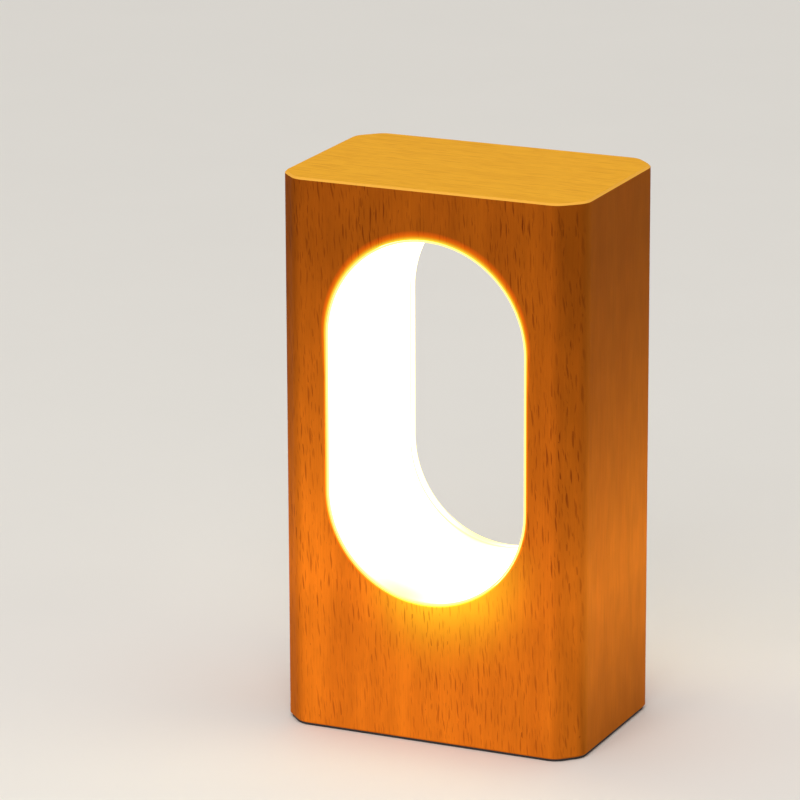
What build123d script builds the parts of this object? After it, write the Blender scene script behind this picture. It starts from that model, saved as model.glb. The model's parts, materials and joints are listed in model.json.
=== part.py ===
from build123d import *
import math
import os

# A wooden desk lamp: a beech block with an obround window whose whole inner wall glows.
# Sizes are in millimetres. X runs to the right seen from the front, Y runs from the front to
# the back, Z runs up. The origin is on the table, under the middle of the block.

# Beech block
side_margin = 13.5          # wood beside the window
top_margin = 12.3           # wood above the window
block_depth = 52.0
corner_chamfer = 5.5        # 45 degree cut on each upright corner
arris_radius = 5.0          # rounding where the corner cut meets a face
edge_bevel = 0.5            # broken edge round the top and the underside

# Window through the block, and the lighting channel sunk in its wall
window_width = 53.0
window_height = 92.0
channel_depth = 3.5
channel_width = 14.0

# Base, from the table up to the channel
pad_thickness = 0.6
pad_inset = 0.5             # how far the pad stays inside the block's outline
cover_thickness = 2.4
cavity_height = 23.0
cavity_roof = 6.2           # wood between the cavity and the channel

# Walls round the base cavity
front_wall = 7.0
service_wall = 7.0          # wood behind the cavity, with the button and the inlet
cavity_corner = 1.5

# Bottom cover
cover_side_wall = 5.0       # wood left beside the cover, along X
cover_end_wall = 4.0        # wood left beside the cover, along Y
cover_corner = 5.0
cover_clearance = 0.2
screw_ledge = 7.0           # wood at each end of the cavity that takes the screws
screw_inset = 8.0           # screw centre from the cover's front or back edge
cradle_wall = 1.2
cradle_height = 3.0
cradle_clearance = 0.3      # between a cradle rib and the cell
cradle_corner = 4.0         # how far a cradle rib stops short of each corner

# Cover screws, countersunk
cover_screw_shank = 1.1
cover_screw_head = 2.3
cover_screw_sink = 1.3      # height of the cone under the head
cover_screw_length = 8.0
screw_clearance = 0.1       # radial, between a screw and its hole
screw_head_setback = 0.1

# Diffuser lining
ring_wall = 1.0
ring_lip = 0.4              # wall at each end, in the block's faces
ring_flare = 4.0            # length over which the wall thins towards an end
ring_clearance = 0.15
ring_setback = 0.2          # how far each end lies inside the block's face
ring_key_height = 1.5       # ribs that reach into the channel and hold the lining
ring_key_width = 0.9
ring_key_clearance = 0.15   # between a rib and the channel's side

# LED strip in the channel
strip_width = 8.0
strip_thickness = 0.3
strip_glue = 0.1
strip_gap = 3.0             # between the two ends of the strip
strip_gap_shift = -2.0      # the gap's middle along X
chip_length = 3.5
chip_width = 2.8
chip_height = 0.75
chip_corner = 0.5
chip_pitch = 8.0
chip_solder = 0.1
strip_resistor_length = 1.6
strip_resistor_width = 0.8
strip_resistor_height = 0.5
strip_resistor_shift = 2.4  # from the strip's middle, along Y

# Leads
lead_radius = 0.5
led_lead_spacing = 2.4
wire_bore_radius = 2.6
wire_bore_shift = 3.0       # the bore's middle along X
battery_lead_spacing = 3.0  # at the cell
plug_lead_spacing = 2.0     # at the plug
bend_share = 0.45           # share of the shorter run that one bend takes up

# Back face: one recess for the button and one for the plug
service_spacing = 20.0      # from the button to the inlet
recess_depth = 1.2
dish_radius = 8.0
plug_recess_width = 13.4
plug_recess_height = 7.6

# Push button
button_radius = 4.0
button_clearance = 0.1
button_travel = 1.2
button_proud = 0.5          # beyond the bezel's flange
button_roof = 1.8
button_skin = 0.6
button_edge = 0.4
button_dish = 0.2           # hollow in the middle of the cap's face
button_flange_radius = 4.85
button_flange = 0.8
button_boss_radius = 2.2
bezel_flange_radius = 6.2
bezel_flange = 0.6
bezel_edge = 0.25
bezel_wall = 0.95
bezel_barrel = 3.0
bezel_clearance = 0.1
stop_gap = 0.05             # between the cap's flange and the bezel at rest
press_gap = 0.35            # between the cap's flange and the switch, pressed in

# Switch under the button
switch_size = 6.0
switch_height = 3.5
switch_floor = 0.3
plunger_radius = 1.5
plunger_clearance = 0.08
plunger_engagement = 1.65   # how far the plunger enters the cap
plunger_collar = 1.95
plunger_collar_height = 1.3
pin_width = 0.7
pin_thickness = 0.3
pin_span = 4.5
pin_tail = 0.8              # beyond the board
pin_hole_radius = 0.5

# Return spring round the plunger
spring_wire = 0.4
spring_radius = 2.8         # of the wire's middle line
spring_turns = 3.5
spring_gap = 0.05

# Control board, upright behind the service wall
board_thickness = 1.6
board_side_gap = 3.0
board_end_gap = 2.5
board_corner = 1.0
rib_width = 5.0
board_screw_inset = 3.0
board_screw_shank = 0.95
board_screw_head = 1.9
board_screw_crown = 1.5     # radius of the flat on the head
board_screw_head_height = 1.2
board_screw_rim = 0.6       # height of the head's upright rim
board_screw_length = 5.0

# Charging inlet
shell_width = 8.94
shell_height = 3.16
shell_wall = 0.3
shell_length = 9.2
shell_window_gap = 0.3
shell_leg_width = 1.1
shell_leg_length = 1.3
tongue_width = 6.7
tongue_thickness = 0.7
tongue_setback = 0.6        # behind the mouth
inlet_base = 3.0
inlet_fit = 0.05
contact_count = 6           # on each side of the tongue
contact_width = 0.3
contact_thickness = 0.08
contact_length = 3.2

# Indicator light
indicator_length = 1.6
indicator_width = 0.8
indicator_height = 0.6
pipe_radius = 1.0
pipe_clearance = 0.1
pipe_collar_radius = 1.7
pipe_collar = 0.8
pipe_bevel = 0.3
pipe_setback = 0.1          # behind the block's back face
pipe_gap = 0.3

# Parts on the board's inner side. A place is X and Z, counted from the button's axis, from the
# board's middle or from the inlet's axis, as its name says.
inductor_size = 5.0
inductor_height = 3.0
inductor_corner = 0.6
inductor_well_radius = 2.2
inductor_core_radius = 1.8
inductor_well_depth = 0.8
inductor_from_button = (-6.0, 2.0)
board_chip_length = 4.9
board_chip_width = 3.9
board_chip_height = 1.5
board_chip_edge = 0.25
chips_from_middle = [(-4.0, -4.5), (3.5, -4.5)]
capacitor_length = 2.0
capacitor_width = 1.25
capacitor_height = 1.1
capacitors_from_button = [(-6.0, -2.5), (-6.0, -5.0)]
capacitors_from_inlet = [(-0.5, -5.5)]
resistor_length = 1.6
resistor_width = 0.8
resistor_height = 0.5
resistors_from_middle = [(-4.0, -0.6), (-1.2, 1.6), (3.5, -0.6)]
resistors_from_inlet = [(-0.5, -2.6), (3.5, -4.0), (3.5, -5.8)]

# Battery plug and the header that takes it
header_width = 6.0
header_height = 4.6
header_depth = 5.0
header_wall = 0.6
header_floor = 1.0
plug_fit = 0.1
plug_length = 6.0
header_from_inlet = (4.0, 4.5)

# Rechargeable cell
cell_thickness = 10.0
cell_edge = 3.0
cell_front_gap = 2.0
cell_end_gap = 2.0
parts_room = 5.3            # between the cell and the control board
tab_length = 4.0
tab_thickness = 1.0
tab_side = 2.0
foam_thickness = 1.0
foam_margin = 4.0
guard_length = 3.0
guard_width = 20.0
guard_thickness = 0.8
guard_chip_size = 1.6
guard_chip_height = 0.7
guard_chip_spacing = 10.0

# Levels and faces that follow from the sizes above
cover_top = pad_thickness + cover_thickness
cavity_top = cover_top + cavity_height
window_bottom = cavity_top + cavity_roof + channel_depth
window_middle = window_bottom + window_height / 2
lamp_height = window_bottom + window_height + top_margin
block_width = window_width + 2 * side_margin
back_face = block_depth / 2
service_level = cover_top + cavity_height / 2
button_x = -service_spacing / 2
inlet_x = service_spacing / 2

# Plan of the base
cover_width = block_width - 2 * cover_side_wall
cover_depth = block_depth - 2 * cover_end_wall
cavity_width = cover_width - 2 * screw_ledge
cavity_front = front_wall - block_depth / 2
cavity_back = back_face - service_wall
cover_screw_x = cavity_width / 2 + screw_ledge / 2
cover_screw_y = cover_depth / 2 - screw_inset

# Button, switch and board, counted inwards from the back face
recess_floor = back_face - recess_depth
button_face = recess_floor + bezel_flange + button_proud
button_inner_radius = button_radius - button_skin
button_ceiling = button_face - button_roof
barrel_radius = button_radius + button_clearance + bezel_wall
barrel_end = recess_floor - bezel_barrel
flange_front = barrel_end - stop_gap
flange_back = flange_front - button_flange
switch_top = flange_back - button_travel - press_gap
board_front = switch_top - switch_height
board_back = board_front - board_thickness
board_width = cavity_width - 2 * board_side_gap
board_height = cavity_height - 2 * board_end_gap
rib_x = board_width / 2 - rib_width / 2
board_screw_z = board_height / 2 - board_screw_inset

# Cell, counted from the cavity's front and left walls
cell_length = cavity_width - 2 * cell_end_gap - tab_length
cell_width = board_back - parts_room - cavity_front - cell_front_gap
cell_x = cell_end_gap - cavity_width / 2 + cell_length / 2
cell_y = cavity_front + cell_front_gap + cell_width / 2
cell_bottom = cover_top + foam_thickness
cell_middle = cell_bottom + cell_thickness / 2
guard_bottom = cell_middle + tab_thickness / 2
guard_top = guard_bottom + guard_thickness
tab_x = cell_x + cell_length / 2 + tab_length / 2


def upright(outline, y_low, y_high):
    """A solid whose outline is drawn in X and Z, reaching from y_low to y_high."""
    drawn_on = Plane(origin=(0, y_high, 0), x_dir=(1, 0, 0), z_dir=(0, -1, 0))
    return extrude(drawn_on * outline, amount=y_high - y_low)


def level(outline, z_low, z_high):
    """A solid whose outline is drawn in X and Y, reaching from z_low to z_high."""
    return extrude(Plane.XY.offset(z_low) * outline, amount=z_high - z_low)


def turned(profile, x, z):
    """A turned solid about an axis along Y, from points of radius and y."""
    return Pos(x, 0, z) * revolve(make_face(Polyline(*profile, close=True)), Axis.Y)


def turned_upright(profile, x, y):
    """A turned solid about an axis along Z, from points of radius and z."""
    half_section = Plane.XZ * make_face(Polyline(*profile, close=True))
    return Pos(x, y, 0) * revolve(half_section, Axis.Z)


def block(x, y, z, length, width, height):
    """A box centred on x and y, standing on z."""
    return Pos(x, y, z + height / 2) * Box(length, width, height)


def board_place(axis_x, place):
    """X and Z of a part on the board, whose place is counted from an axis at axis_x."""
    return axis_x + place[0], service_level + place[1]


def on_board(place, outline, height):
    """A part on the board's inner side, with its outline about its own middle."""
    return upright(Pos(*place) * outline, board_back - height, board_back)


def group(pieces):
    """Several separate solids that share one node."""
    return Compound(children=list(pieces))


def window_outline(offset):
    """The window's obround outline, grown by an offset."""
    slot = SlotOverall(window_height + 2 * offset, window_width + 2 * offset, rotation=90)
    return Pos(0, window_middle) * slot


def channel_length(offset):
    """The length of the obround at an offset from the window's wall."""
    straight = window_height - window_width
    return 2 * straight + math.tau * (window_width / 2 + offset)


def channel_place(distance, offset):
    """A point of the obround in X and Z, and the direction outwards there in degrees.

    The distance is counted from the bottom of the window, first towards +X."""
    radius = window_width / 2 + offset
    straight = window_height - window_width
    quarter = math.pi * radius / 2
    low = window_middle - straight / 2
    high = window_middle + straight / 2
    if distance < quarter:
        turn = distance / radius - math.pi / 2
        return radius * math.cos(turn), low + radius * math.sin(turn), math.degrees(turn)
    distance -= quarter
    if distance < straight:
        return radius, low + distance, 0.0
    distance -= straight
    if distance < 2 * quarter:
        turn = distance / radius
        return radius * math.cos(turn), high + radius * math.sin(turn), math.degrees(turn)
    distance -= 2 * quarter
    if distance < straight:
        return -radius, high - distance, 180.0
    distance -= straight
    turn = math.pi + distance / radius
    return radius * math.cos(turn), low + radius * math.sin(turn), math.degrees(turn)


def on_strip(piece, distance):
    """A piece modelled on the plane x = 0 and reaching to -X, seated on the strip."""
    face = channel_depth - strip_glue - strip_thickness - chip_solder
    x, z, outwards = channel_place(distance, face)
    return Pos(x, 0, z) * Rot(0, -outwards, 0) * piece


def lead(points):
    """An insulated wire: straight runs joined by tangent bends."""
    radii = []
    for before, corner, after in zip(points, points[1:], points[2:]):
        run_in = Vector(corner) - Vector(before)
        run_out = Vector(after) - Vector(corner)
        half_turn = math.radians(run_in.get_angle(run_out)) / 2
        radii.append(bend_share * min(run_in.length, run_out.length) / math.tan(half_turn))
    print("lead bends:", [round(radius, 2) for radius in radii])
    route = FilletPolyline(*points, radius=radii)
    section = Plane(origin=route @ 0, z_dir=route % 0) * Circle(lead_radius)
    return sweep(section, path=route)


def block_outline():
    """The block's plan: a rectangle with cut corners and eased arrises."""
    outline = Rectangle(block_width, block_depth)
    outline = chamfer(outline.vertices(), corner_chamfer)
    return fillet(outline.vertices(), arris_radius)


def cavity_outline():
    """The cavity's plan, with two upright ribs of wood that carry the board."""
    depth = cavity_back - cavity_front
    room = RectangleRounded(cavity_width, depth, cavity_corner)
    outline = Pos(0, (cavity_front + cavity_back) / 2) * room
    rib_depth = cavity_back - board_front
    for side in (-1, 1):
        rib = Rectangle(rib_width, rib_depth)
        outline -= Pos(side * rib_x, cavity_back - rib_depth / 2) * rib
    return outline


def cover_screw_places():
    return [(x * cover_screw_x, y * cover_screw_y) for x in (-1, 1) for y in (-1, 1)]


def board_screw_places():
    return [(x * rib_x, service_level + z * board_screw_z) for x in (-1, 1) for z in (-1, 1)]


def wood_body():
    body = level(block_outline(), pad_thickness, lamp_height)
    body = chamfer(body.faces().filter_by(Axis.Z).edges(), edge_bevel)

    # The window and the lighting channel round it
    body -= upright(window_outline(0), -block_depth, block_depth)
    body -= upright(window_outline(channel_depth), -channel_width / 2, channel_width / 2)

    # The base cavity, the seat of the cover, and the way up for the leads
    rebate = RectangleRounded(cover_width + 2 * cover_clearance, cover_depth + 2 * cover_clearance,
                              cover_corner + cover_clearance)
    body -= level(rebate, 0, cover_top)
    body -= level(cavity_outline(), 0, cavity_top)
    body -= level(Pos(wire_bore_shift, 0) * Circle(wire_bore_radius), cavity_top, window_bottom)

    # The button's bore, and the dish round it
    at_button = Pos(button_x, service_level)
    body -= upright(at_button * Circle(barrel_radius + bezel_clearance), cavity_back, back_face)
    body -= upright(at_button * Circle(dish_radius), recess_floor, back_face)

    # The inlet's window, and the recess for the plug's grip
    at_inlet = Pos(inlet_x, service_level)
    window = SlotOverall(shell_width + 2 * shell_window_gap, shell_height + 2 * shell_window_gap)
    body -= upright(at_inlet * window, cavity_back, back_face)
    body -= upright(at_inlet * SlotOverall(plug_recess_width, plug_recess_height), recess_floor, back_face)

    # The light pipe's bore
    pipe_bore = Pos(0, service_level) * Circle(pipe_radius + pipe_clearance)
    body -= upright(pipe_bore, cavity_back, back_face)

    # Pilot holes for the cover screws and the board screws
    for x, y in cover_screw_places():
        pilot = Pos(x, y) * Circle(cover_screw_shank + screw_clearance)
        body -= level(pilot, cover_top, pad_thickness + cover_screw_length + screw_clearance)
    for x, z in board_screw_places():
        pilot = Pos(x, z) * Circle(board_screw_shank + screw_clearance)
        body -= upright(pilot, board_front, board_back + board_screw_length + screw_clearance)
    return body


def diffuser_ring():
    """The opal lining: a wall that thins to a lip at each face, keyed into the channel."""
    reach = block_depth / 2 - ring_setback
    outer = window_width / 2 - ring_clearance
    key_top = window_width / 2 + ring_key_height
    key_end = channel_width / 2 - ring_key_clearance
    key_start = key_end - ring_key_width
    half = [(outer, key_start), (key_top, key_start), (key_top, key_end), (outer, key_end),
            (outer, reach), (outer - ring_lip, reach), (outer - ring_wall, reach - ring_flare)]
    other_half = [(x, -y) for x, y in reversed(half)]
    section = make_face(Polyline(*half, *other_half, close=True))

    # Two straight walls, and a half turn over and under them
    straight = window_height - window_width
    low = (0, 0, window_middle - straight / 2)
    high = (0, 0, window_middle + straight / 2)
    wall = Pos(*low) * extrude(section, amount=straight, dir=(0, 0, 1))
    over = revolve(Pos(*high) * section, Axis(high, (0, -1, 0)), 180)
    under = revolve(Pos(*low) * section, Axis(low, (0, 1, 0)), 180)
    return wall + over + Rot(0, 0, 180) * wall + under


def led_strip():
    """The flexible circuit that runs once round the floor of the channel."""
    seat = channel_depth - strip_glue
    section = window_outline(seat) - window_outline(seat - strip_thickness)
    gap = Rectangle(strip_gap, 2 * channel_depth)
    section -= Pos(strip_gap_shift, window_bottom - seat) * gap
    return upright(section, -strip_width / 2, strip_width / 2)


def strip_stations():
    """How far along the strip each LED stands, clear of the strip's two ends."""
    face = channel_depth - strip_glue - strip_thickness - chip_solder
    whole = channel_length(face)
    start = strip_gap_shift + strip_gap / 2 + chip_pitch / 2
    usable = whole - strip_gap - chip_pitch
    count = int(usable / chip_pitch) + 1
    step = usable / (count - 1)
    return [start + index * step for index in range(count)]


def led_chips():
    outline = Rectangle(chip_width, chip_length)
    outline = chamfer(outline.vertices().sort_by(Axis.X)[-1:], chip_corner)
    chip = extrude(Plane.YZ * outline, amount=-chip_height)
    return group(on_strip(chip, distance) for distance in strip_stations())


def strip_resistors():
    """One resistor between every second pair of LEDs."""
    stations = strip_stations()
    resistor = Box(strip_resistor_height, strip_resistor_width, strip_resistor_length)
    resistor = Pos(-strip_resistor_height / 2, strip_resistor_shift, 0) * resistor
    middles = [(a + b) / 2 for a, b in zip(stations, stations[1:])]
    return group(on_strip(resistor, distance) for distance in middles[::2])


def led_lead(side):
    """A lead from the strip's end, down its bore and back to the board."""
    x = wire_bore_shift + side * led_lead_spacing / 2
    strip_back = window_bottom - channel_depth + strip_glue
    z = service_level + board_screw_z
    return lead([(x, 0, strip_back), (x, 0, z), (x, board_back, z)])


def control_board():
    outline = RectangleRounded(board_width, board_height, board_corner)
    board = upright(Pos(0, service_level) * outline, board_back, board_front)
    for x, z in board_screw_places():
        hole = Pos(x, z) * Circle(board_screw_shank + screw_clearance)
        board -= upright(hole, board_back, board_front)
    for x, z in switch_pin_places():
        board -= upright(Pos(x, z) * Circle(pin_hole_radius), board_back, board_front)
    for x in shell_leg_places():
        slot = Rectangle(shell_wall + 2 * screw_clearance, shell_leg_width + 2 * screw_clearance)
        board -= upright(Pos(x, service_level) * slot, board_back, board_front)
    return board


def board_screws():
    """Pan-head screws through the board into the wooden ribs."""
    head_top = board_back - board_screw_head_height
    tip = board_back + board_screw_length
    profile = [(0, head_top), (board_screw_crown, head_top),
               (board_screw_head, board_back - board_screw_rim),
               (board_screw_head, board_back), (board_screw_shank, board_back),
               (board_screw_shank, tip - board_screw_shank), (0, tip)]
    return group(turned(profile, x, z) for x, z in board_screw_places())


def inductor():
    """A shielded coil: a square ferrite with its round core showing in the top."""
    place = board_place(button_x, inductor_from_button)
    square = RectangleRounded(inductor_size, inductor_size, inductor_corner)
    body = on_board(place, square, inductor_height)
    top = board_back - inductor_height
    well = Circle(inductor_well_radius) - Circle(inductor_core_radius)
    return body - upright(Pos(*place) * well, top, top + inductor_well_depth)


def board_chips():
    """The charging circuit and the LED driver."""
    outline = Rectangle(board_chip_length, board_chip_width)
    chips = []
    for place in chips_from_middle:
        chip = on_board(board_place(0, place), outline, board_chip_height)
        inner_face = chip.faces().sort_by(Axis.Y)[0]
        chips.append(chamfer(inner_face.edges(), board_chip_edge))
    return group(chips)


def board_capacitors():
    outline = Rectangle(capacitor_length, capacitor_width)
    places = [board_place(button_x, place) for place in capacitors_from_button]
    places += [board_place(inlet_x, place) for place in capacitors_from_inlet]
    return group(on_board(place, outline, capacitor_height) for place in places)


def board_resistors():
    outline = Rectangle(resistor_length, resistor_width)
    places = [board_place(0, place) for place in resistors_from_middle]
    places += [board_place(inlet_x, place) for place in resistors_from_inlet]
    return group(on_board(place, outline, resistor_height) for place in places)


def battery_header():
    """The shrouded header on the board, open towards the plug."""
    place = board_place(inlet_x, header_from_inlet)
    body = on_board(place, Rectangle(header_width, header_height), header_depth)
    mouth = Rectangle(header_width - 2 * header_wall, header_height - 2 * header_wall)
    return body - upright(Pos(*place) * mouth, board_back - header_depth, board_back - header_floor)


def battery_plug():
    width = header_width - 2 * header_wall - 2 * plug_fit
    height = header_height - 2 * header_wall - 2 * plug_fit
    seat = board_back - header_floor
    place = board_place(inlet_x, header_from_inlet)
    return upright(Pos(*place) * Rectangle(width, height), seat - plug_length, seat)


def usb_shell():
    """The stamped metal shell of the inlet, with two legs in slots of the board."""
    inner_width = shell_width - 2 * shell_wall
    inner_height = shell_height - 2 * shell_wall
    section = SlotOverall(shell_width, shell_height) - SlotOverall(inner_width, inner_height)
    shell = upright(Pos(inlet_x, service_level) * section, board_front, board_front + shell_length)
    for x in shell_leg_places():
        leg = Pos(x, service_level) * Rectangle(shell_wall, shell_leg_width)
        shell += upright(leg, board_front - shell_leg_length, board_front + shell_wall)
    return shell


def shell_leg_places():
    reach = shell_width / 2 - shell_wall / 2
    return [inlet_x - reach, inlet_x + reach]


def usb_tongue():
    """The insulator inside the shell: a filled base and a thin tongue."""
    width = shell_width - 2 * shell_wall - 2 * inlet_fit
    height = shell_height - 2 * shell_wall - 2 * inlet_fit
    at_inlet = Pos(inlet_x, service_level)
    base = upright(at_inlet * SlotOverall(width, height), board_front, board_front + inlet_base)
    tip = board_front + shell_length - tongue_setback
    return base + upright(at_inlet * Rectangle(tongue_width, tongue_thickness), board_front, tip)


def usb_contacts():
    tip = board_front + shell_length - tongue_setback - contact_width
    pitch = tongue_width / (contact_count + 1)
    contacts = []
    for side in (-1, 1):
        z = service_level + side * (tongue_thickness + contact_thickness) / 2
        for index in range(contact_count):
            x = inlet_x + (index - (contact_count - 1) / 2) * pitch
            outline = Pos(x, z) * Rectangle(contact_width, contact_thickness)
            contacts.append(upright(outline, tip - contact_length, tip))
    return group(contacts)


def indicator_led():
    outline = Pos(0, service_level) * Rectangle(indicator_length, indicator_width)
    return upright(outline, board_front, board_front + indicator_height)


def light_pipe():
    """A clear pin with a collar against the inside of the service wall."""
    start = board_front + indicator_height + pipe_gap
    end = back_face - pipe_setback
    profile = [(0, start), (pipe_radius, start), (pipe_radius, cavity_back - pipe_collar),
               (pipe_collar_radius, cavity_back - pipe_collar), (pipe_collar_radius, cavity_back),
               (pipe_radius, cavity_back), (pipe_radius, end - pipe_bevel),
               (pipe_radius - pipe_bevel, end), (0, end)]
    return turned(profile, 0, service_level)


def switch_body():
    outline = Pos(button_x, service_level) * Rectangle(switch_size, switch_size)
    body = upright(outline, board_front, switch_top)
    well = Pos(button_x, service_level) * Circle(plunger_collar + plunger_clearance)
    body -= upright(well, board_front + switch_floor, switch_top - switch_floor)
    bore = Pos(button_x, service_level) * Circle(plunger_radius + plunger_clearance)
    return body - upright(bore, board_front + switch_floor, switch_top)


def switch_pin_places():
    reach = pin_span / 2
    return [(button_x + x * reach, service_level + z * reach) for x in (-1, 1) for z in (-1, 1)]


def switch_pins():
    outline = Rectangle(pin_width, pin_thickness)
    pins = [upright(Pos(x, z) * outline, board_back - pin_tail, board_front)
            for x, z in switch_pin_places()]
    return group(pins)


def switch_plunger():
    """The pin that the button pushes, with a collar that keeps it in the switch."""
    end = flange_back + plunger_engagement
    collar_top = switch_top - switch_floor - stop_gap
    collar_back = collar_top - plunger_collar_height
    profile = [(0, collar_back), (plunger_collar, collar_back), (plunger_collar, collar_top),
               (plunger_radius, collar_top), (plunger_radius, end), (0, end)]
    return turned(profile, button_x, service_level)


def button_cap():
    """A hollow cap with a dished face, a flange inside the bezel and a boss for the plunger."""
    socket = plunger_radius + plunger_clearance
    socket_end = flange_back + plunger_engagement
    rim = button_radius - button_edge
    profile = [(0, button_face), (0, socket_end), (socket, socket_end),
               (socket, flange_back), (button_boss_radius, flange_back),
               (button_boss_radius, button_ceiling), (button_inner_radius, button_ceiling),
               (button_inner_radius, flange_back), (button_flange_radius, flange_back),
               (button_flange_radius, flange_front), (button_radius, flange_front),
               (button_radius, button_face - button_edge), (rim, button_face)]
    cap = turned(profile, button_x, service_level)
    ball_radius = (rim ** 2 + button_dish ** 2) / (2 * button_dish)
    ball_y = button_face - button_dish + ball_radius
    return cap - Pos(button_x, ball_y, service_level) * Sphere(ball_radius)


def button_bezel():
    """The metal bush that guides the button, with a thin flange in the dish."""
    inner = button_radius + button_clearance
    top = recess_floor + bezel_flange
    profile = [(inner, barrel_end), (barrel_radius, barrel_end), (barrel_radius, recess_floor),
               (bezel_flange_radius, recess_floor), (bezel_flange_radius, top - bezel_edge),
               (bezel_flange_radius - bezel_edge, top), (inner + bezel_edge, top),
               (inner, top - bezel_edge)]
    return turned(profile, button_x, service_level)


def biarc(start, start_way, end, end_way):
    """Two arcs that meet smoothly, from a point and its direction to the next ones."""
    across = end - start
    along = across.dot(start_way + end_way)
    opening = 2 * (1 - start_way.dot(end_way))
    reach = (math.sqrt(along ** 2 + opening * across.dot(across)) - along) / opening
    meeting = (start + start_way * reach + end - end_way * reach) * 0.5
    first = TangentArc(start, meeting, tangent=start_way)
    return [first, TangentArc(meeting, end, tangent=first % 1)]


def button_spring():
    """The coil that returns the button, between the switch and the cap's ceiling."""
    low = switch_top + spring_wire / 2 + spring_gap
    high = button_ceiling - spring_wire / 2 - spring_gap
    rise = (high - low) / (math.tau * spring_turns)
    steps = math.ceil(2 * spring_turns)
    places = []
    ways = []
    for index in range(steps + 1):
        turn = math.tau * spring_turns * index / steps
        across, up = spring_radius * math.cos(turn), spring_radius * math.sin(turn)
        places.append(Vector(button_x + across, low + rise * turn, service_level + up))
        ways.append(Vector(-up, rise, across).normalized())
    arcs = []
    for index in range(steps):
        arcs += biarc(places[index], ways[index], places[index + 1], ways[index + 1])
    coil = Wire(arcs)

    # The least gap between points more than half a turn apart, on 16 points to each step
    count = 16 * steps
    points = [coil @ (index / count) for index in range(count + 1)]
    half_turn = math.ceil(count / spring_turns / 2)
    gaps = [(points[second] - points[first]).length - spring_wire
            for first in range(count) for second in range(first + half_turn, count + 1)]
    print("least gap of the spring to itself:", round(min(gaps), 3))
    section = Plane(origin=coil @ 0, z_dir=coil % 0) * Circle(spring_wire / 2)
    return sweep(section, path=coil)


def battery_cell():
    """A flat pouch cell with rounded long edges and a sealed end."""
    section = RectangleRounded(cell_width, cell_thickness, cell_edge)
    drawn_on = Plane(origin=(cell_x - cell_length / 2, cell_y, cell_middle),
                     x_dir=(0, 1, 0), z_dir=(1, 0, 0))
    cell = extrude(drawn_on * section, amount=cell_length)
    tab = block(tab_x, cell_y, cell_middle - tab_thickness / 2, tab_length,
                cell_width - 2 * tab_side, tab_thickness)
    return cell + tab


def battery_foam():
    return block(cell_x, cell_y, cover_top, cell_length - 2 * foam_margin,
                 cell_width - 2 * foam_margin, foam_thickness)


def protection_board():
    return block(tab_x, cell_y, guard_bottom, guard_length, guard_width, guard_thickness)


def protection_chips():
    chips = [block(tab_x, cell_y + side * guard_chip_spacing / 2, guard_top,
                   guard_chip_size, guard_chip_size, guard_chip_height) for side in (-1, 1)]
    return group(chips)


def battery_lead(side):
    """A lead from the cell's protection board up and across to the plug."""
    x, height = board_place(inlet_x, header_from_inlet)
    start_y = cell_y + side * battery_lead_spacing / 2
    plug_x = x + side * plug_lead_spacing / 2
    plug_y = board_back - header_floor - plug_length
    return lead([(tab_x, start_y, guard_top), (tab_x, start_y, height),
                 (plug_x, start_y, height), (plug_x, plug_y, height)])


def bottom_cover():
    """A moulded plate with countersunk holes and four low ribs round the cell."""
    plate = RectangleRounded(cover_width, cover_depth, cover_corner)
    cover = level(plate, pad_thickness, cover_top)
    inner_length = cell_length + tab_length + 2 * cradle_clearance
    inner_width = cell_width + 2 * cradle_clearance
    middle_x = cell_x + tab_length / 2
    outer_length = inner_length + 2 * cradle_wall
    outer_width = inner_width + 2 * cradle_wall
    ribs = Rectangle(outer_length - 2 * cradle_corner, outer_width)
    ribs += Rectangle(outer_length, outer_width - 2 * cradle_corner)
    ribs -= Rectangle(inner_length, inner_width)
    cover += level(Pos(middle_x, cell_y) * ribs, cover_top, cover_top + cradle_height)
    shank = cover_screw_shank + screw_clearance
    head = cover_screw_head + screw_clearance
    for x, y in cover_screw_places():
        cone = [(0, pad_thickness), (head, pad_thickness),
                (head, pad_thickness + screw_head_setback),
                (shank, pad_thickness + screw_head_setback + cover_screw_sink),
                (shank, cover_top), (0, cover_top)]
        cover -= turned_upright(cone, x, y)
    return cover


def cover_screws():
    """Countersunk screws up through the cover into the ends of the cavity."""
    head = pad_thickness + screw_head_setback
    tip = pad_thickness + cover_screw_length
    profile = [(0, head), (cover_screw_head, head),
               (cover_screw_shank, head + cover_screw_sink),
               (cover_screw_shank, tip - cover_screw_shank), (0, tip)]
    return group(turned_upright(profile, x, y) for x, y in cover_screw_places())


def base_pad():
    """The black non-slip sheet under the whole block."""
    return level(offset(block_outline(), -pad_inset), 0, pad_thickness)


nodes = {
    "wood_body": wood_body(),
    "diffuser_ring": diffuser_ring(),
    "led_strip": led_strip(),
    "led_chips": led_chips(),
    "strip_resistors": strip_resistors(),
    "led_lead_positive": led_lead(-1),
    "led_lead_negative": led_lead(1),
    "control_board": control_board(),
    "board_screws": board_screws(),
    "inductor": inductor(),
    "board_chips": board_chips(),
    "board_capacitors": board_capacitors(),
    "board_resistors": board_resistors(),
    "battery_header": battery_header(),
    "battery_plug": battery_plug(),
    "usb_shell": usb_shell(),
    "usb_tongue": usb_tongue(),
    "usb_contacts": usb_contacts(),
    "indicator_led": indicator_led(),
    "light_pipe": light_pipe(),
    "switch_body": switch_body(),
    "switch_pins": switch_pins(),
    "switch_plunger": switch_plunger(),
    "button_cap": button_cap(),
    "button_bezel": button_bezel(),
    "button_spring": button_spring(),
    "battery_cell": battery_cell(),
    "battery_foam": battery_foam(),
    "protection_board": protection_board(),
    "protection_chips": protection_chips(),
    "battery_lead_positive": battery_lead(-1),
    "battery_lead_negative": battery_lead(1),
    "bottom_cover": bottom_cover(),
    "cover_screws": cover_screws(),
    "base_pad": base_pad(),
}

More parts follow.
